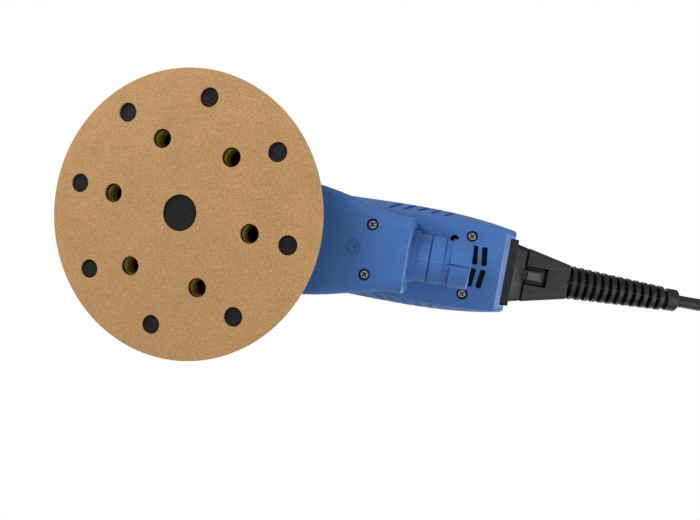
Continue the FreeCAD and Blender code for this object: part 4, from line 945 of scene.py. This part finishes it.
def makePalmGrip(look):
    # height at the share s of the radius is (1 - s to the bulge) to one over the fall
    # the flutes are a cosine wave round the cap
    reach = (gripHigh[0] - gripLow[0]) / 2
    rise = gripHigh[2] - gripLow[2] - look["rimLift"]
    share = np.sin(np.linspace(look["pole"], np.pi / 2, 44))
    dome = (1 - share ** look["bulge"]) ** (1 / look["fall"])
    turn = np.radians(np.arange(0, 360, 2.0))
    rimFade = np.clip((1 - share) / look["rimFade"], 0, 1)
    fade = np.clip((share - look["fadeStart"]) / look["fadeReach"], 0, 1) * rimFade
    flute = look["fluteDepth"] * fade[:, None] * (0.5 - 0.5 * np.cos(look["flutes"] * turn)[None, :])
    level = gripLow[2] + look["rimLift"] + rise * dome[:, None] - flute
    radius = np.broadcast_to(share[:, None] * (reach - look["inset"]), level.shape)
    foot = np.full((1, len(turn)), gripLow[2])
    level = np.concatenate([level, foot])
    radius = np.concatenate([radius, np.full((1, len(turn)), reach - look["inset"])])
    points = np.stack([radius * np.cos(turn), radius * np.sin(turn), level], axis=-1)
    shape = gridShape(points, capStart=True, capEnd=True)
    return makePiece("palmGrip", shape, slotOf["palm_grip"], nodeBody("palm_grip"), ["palm_grip"], angle=60)


makePalmGrip(gripLook)


# Lever: cross ridges under the finger tips

leverLook = {"ridges": 8, "first": 0.098, "pitch": 0.0034, "reach": 0.0095, "half": 0.0007, "height": 0.0006}


def makeLeverRidges(look):
    # equal ridges across the lever, one pitch apart
    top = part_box("lever")[1][2]
    shapes = []
    for i in range(look["ridges"]):
        x = look["first"] + i * look["pitch"]
        start = (x, -look["reach"], top)
        end = (x, look["reach"], top)
        shapes.append(ridge(start, end, look["half"], look["height"], down=False, steps=17))
    return makePiece("leverRidges", joined(shapes), slotOf["lever"], nodeBody("lever"), angle=50)


makeLeverRidges(leverLook)

leverSpring = refined("lever_spring", "leverSpring", bevel=0.0, angle=60)
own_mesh(leverSpring)


# Keys: raised minus, power and plus signs

signLook = {"half": 0.00028, "height": 0.00018, "reach": 0.0017, "ring": 0.0016,
            "strokeStart": 0.0004, "strokeEnd": 0.0022, "sweep": (38.0, 322.0)}
signFinish = mouldedPlastic("signWhite", (0.72, 0.72, 0.7), grain=0.0002, gloss=(0.4, 0.5))


def keyMiddle(node):
    # the middle of a key's top face
    low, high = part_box(node)
    return (low[0] + high[0]) / 2, (low[1] + high[1]) / 2, high[2]


def signBar(middle, across, look):
    # a ridge through the middle, across the key or along it
    x, y, z = middle
    step = (0, look["reach"]) if across else (look["reach"], 0)
    start = (x - step[0], y - step[1], z)
    end = (x + step[0], y + step[1], z)
    return ridge(start, end, look["half"], look["height"], down=False)


def makeSigns(look):
    # minus is one bar, plus is two, and power is an open ring with a stroke
    minus = keyMiddle("speed_down_button")
    plus = keyMiddle("speed_up_button")
    power = keyMiddle("power_button")
    start = (power[0] + look["strokeStart"], power[1], power[2])
    end = (power[0] + look["strokeEnd"], power[1], power[2])
    stroke = ridge(start, end, look["half"], look["height"], down=False)
    arc = ringRidge(power, look["ring"], look["half"], look["height"], down=False, sweep=look["sweep"])
    cross = [signBar(plus, True, look), signBar(plus, False, look)]
    for name, node, shapes in [("minusSign", "speed_down_button", [signBar(minus, True, look)]),
                               ("plusSign", "speed_up_button", cross),
                               ("powerSign", "power_button", [arc, stroke])]:
        makePiece(name, joined(shapes), slotOf[node], nodeBody(node), angle=50, look=signFinish)


makeSigns(signLook)
print("top dressed")


# Coil tie: a flat strap round the bundle of turns

tieLook = {"radius": 0.0390, "half": 0.0146, "top": 0.0278, "corner": 0.0062,
           "width": 0.012, "wall": 0.0011, "turn": 35.0}


def makeCoilTie(look):
    # a rounded rectangle round the bundle; the strap's section is its width by its wall
    middleX, middleY = cordLook["coilCentre"]
    outline = roundedOutline(look["half"], look["top"] / 2, look["corner"], 10)
    inner = outline * (1 - look["wall"] / np.array([look["half"], look["top"] / 2]))
    side = np.array([-1.0, 1.0, 1.0, -1.0]) * look["width"] / 2
    reach = np.stack([outline[:, 0], outline[:, 0], inner[:, 0], inner[:, 0]], axis=1) + look["radius"]
    level = np.stack([outline[:, 1], outline[:, 1], inner[:, 1], inner[:, 1]], axis=1) + look["top"] / 2
    turn = math.radians(look["turn"])
    x = middleX + reach * math.cos(turn) - side[None, :] * math.sin(turn)
    y = middleY + reach * math.sin(turn) + side[None, :] * math.cos(turn)
    shape = gridShape(np.stack([x, y, level], axis=-1), closeU=True)
    return makePiece("coilTie", shape, "cord_rubber", "housing", bevel=0.0003, angle=40)


coilTie = makeCoilTie(tieLook)
print("coil tied")
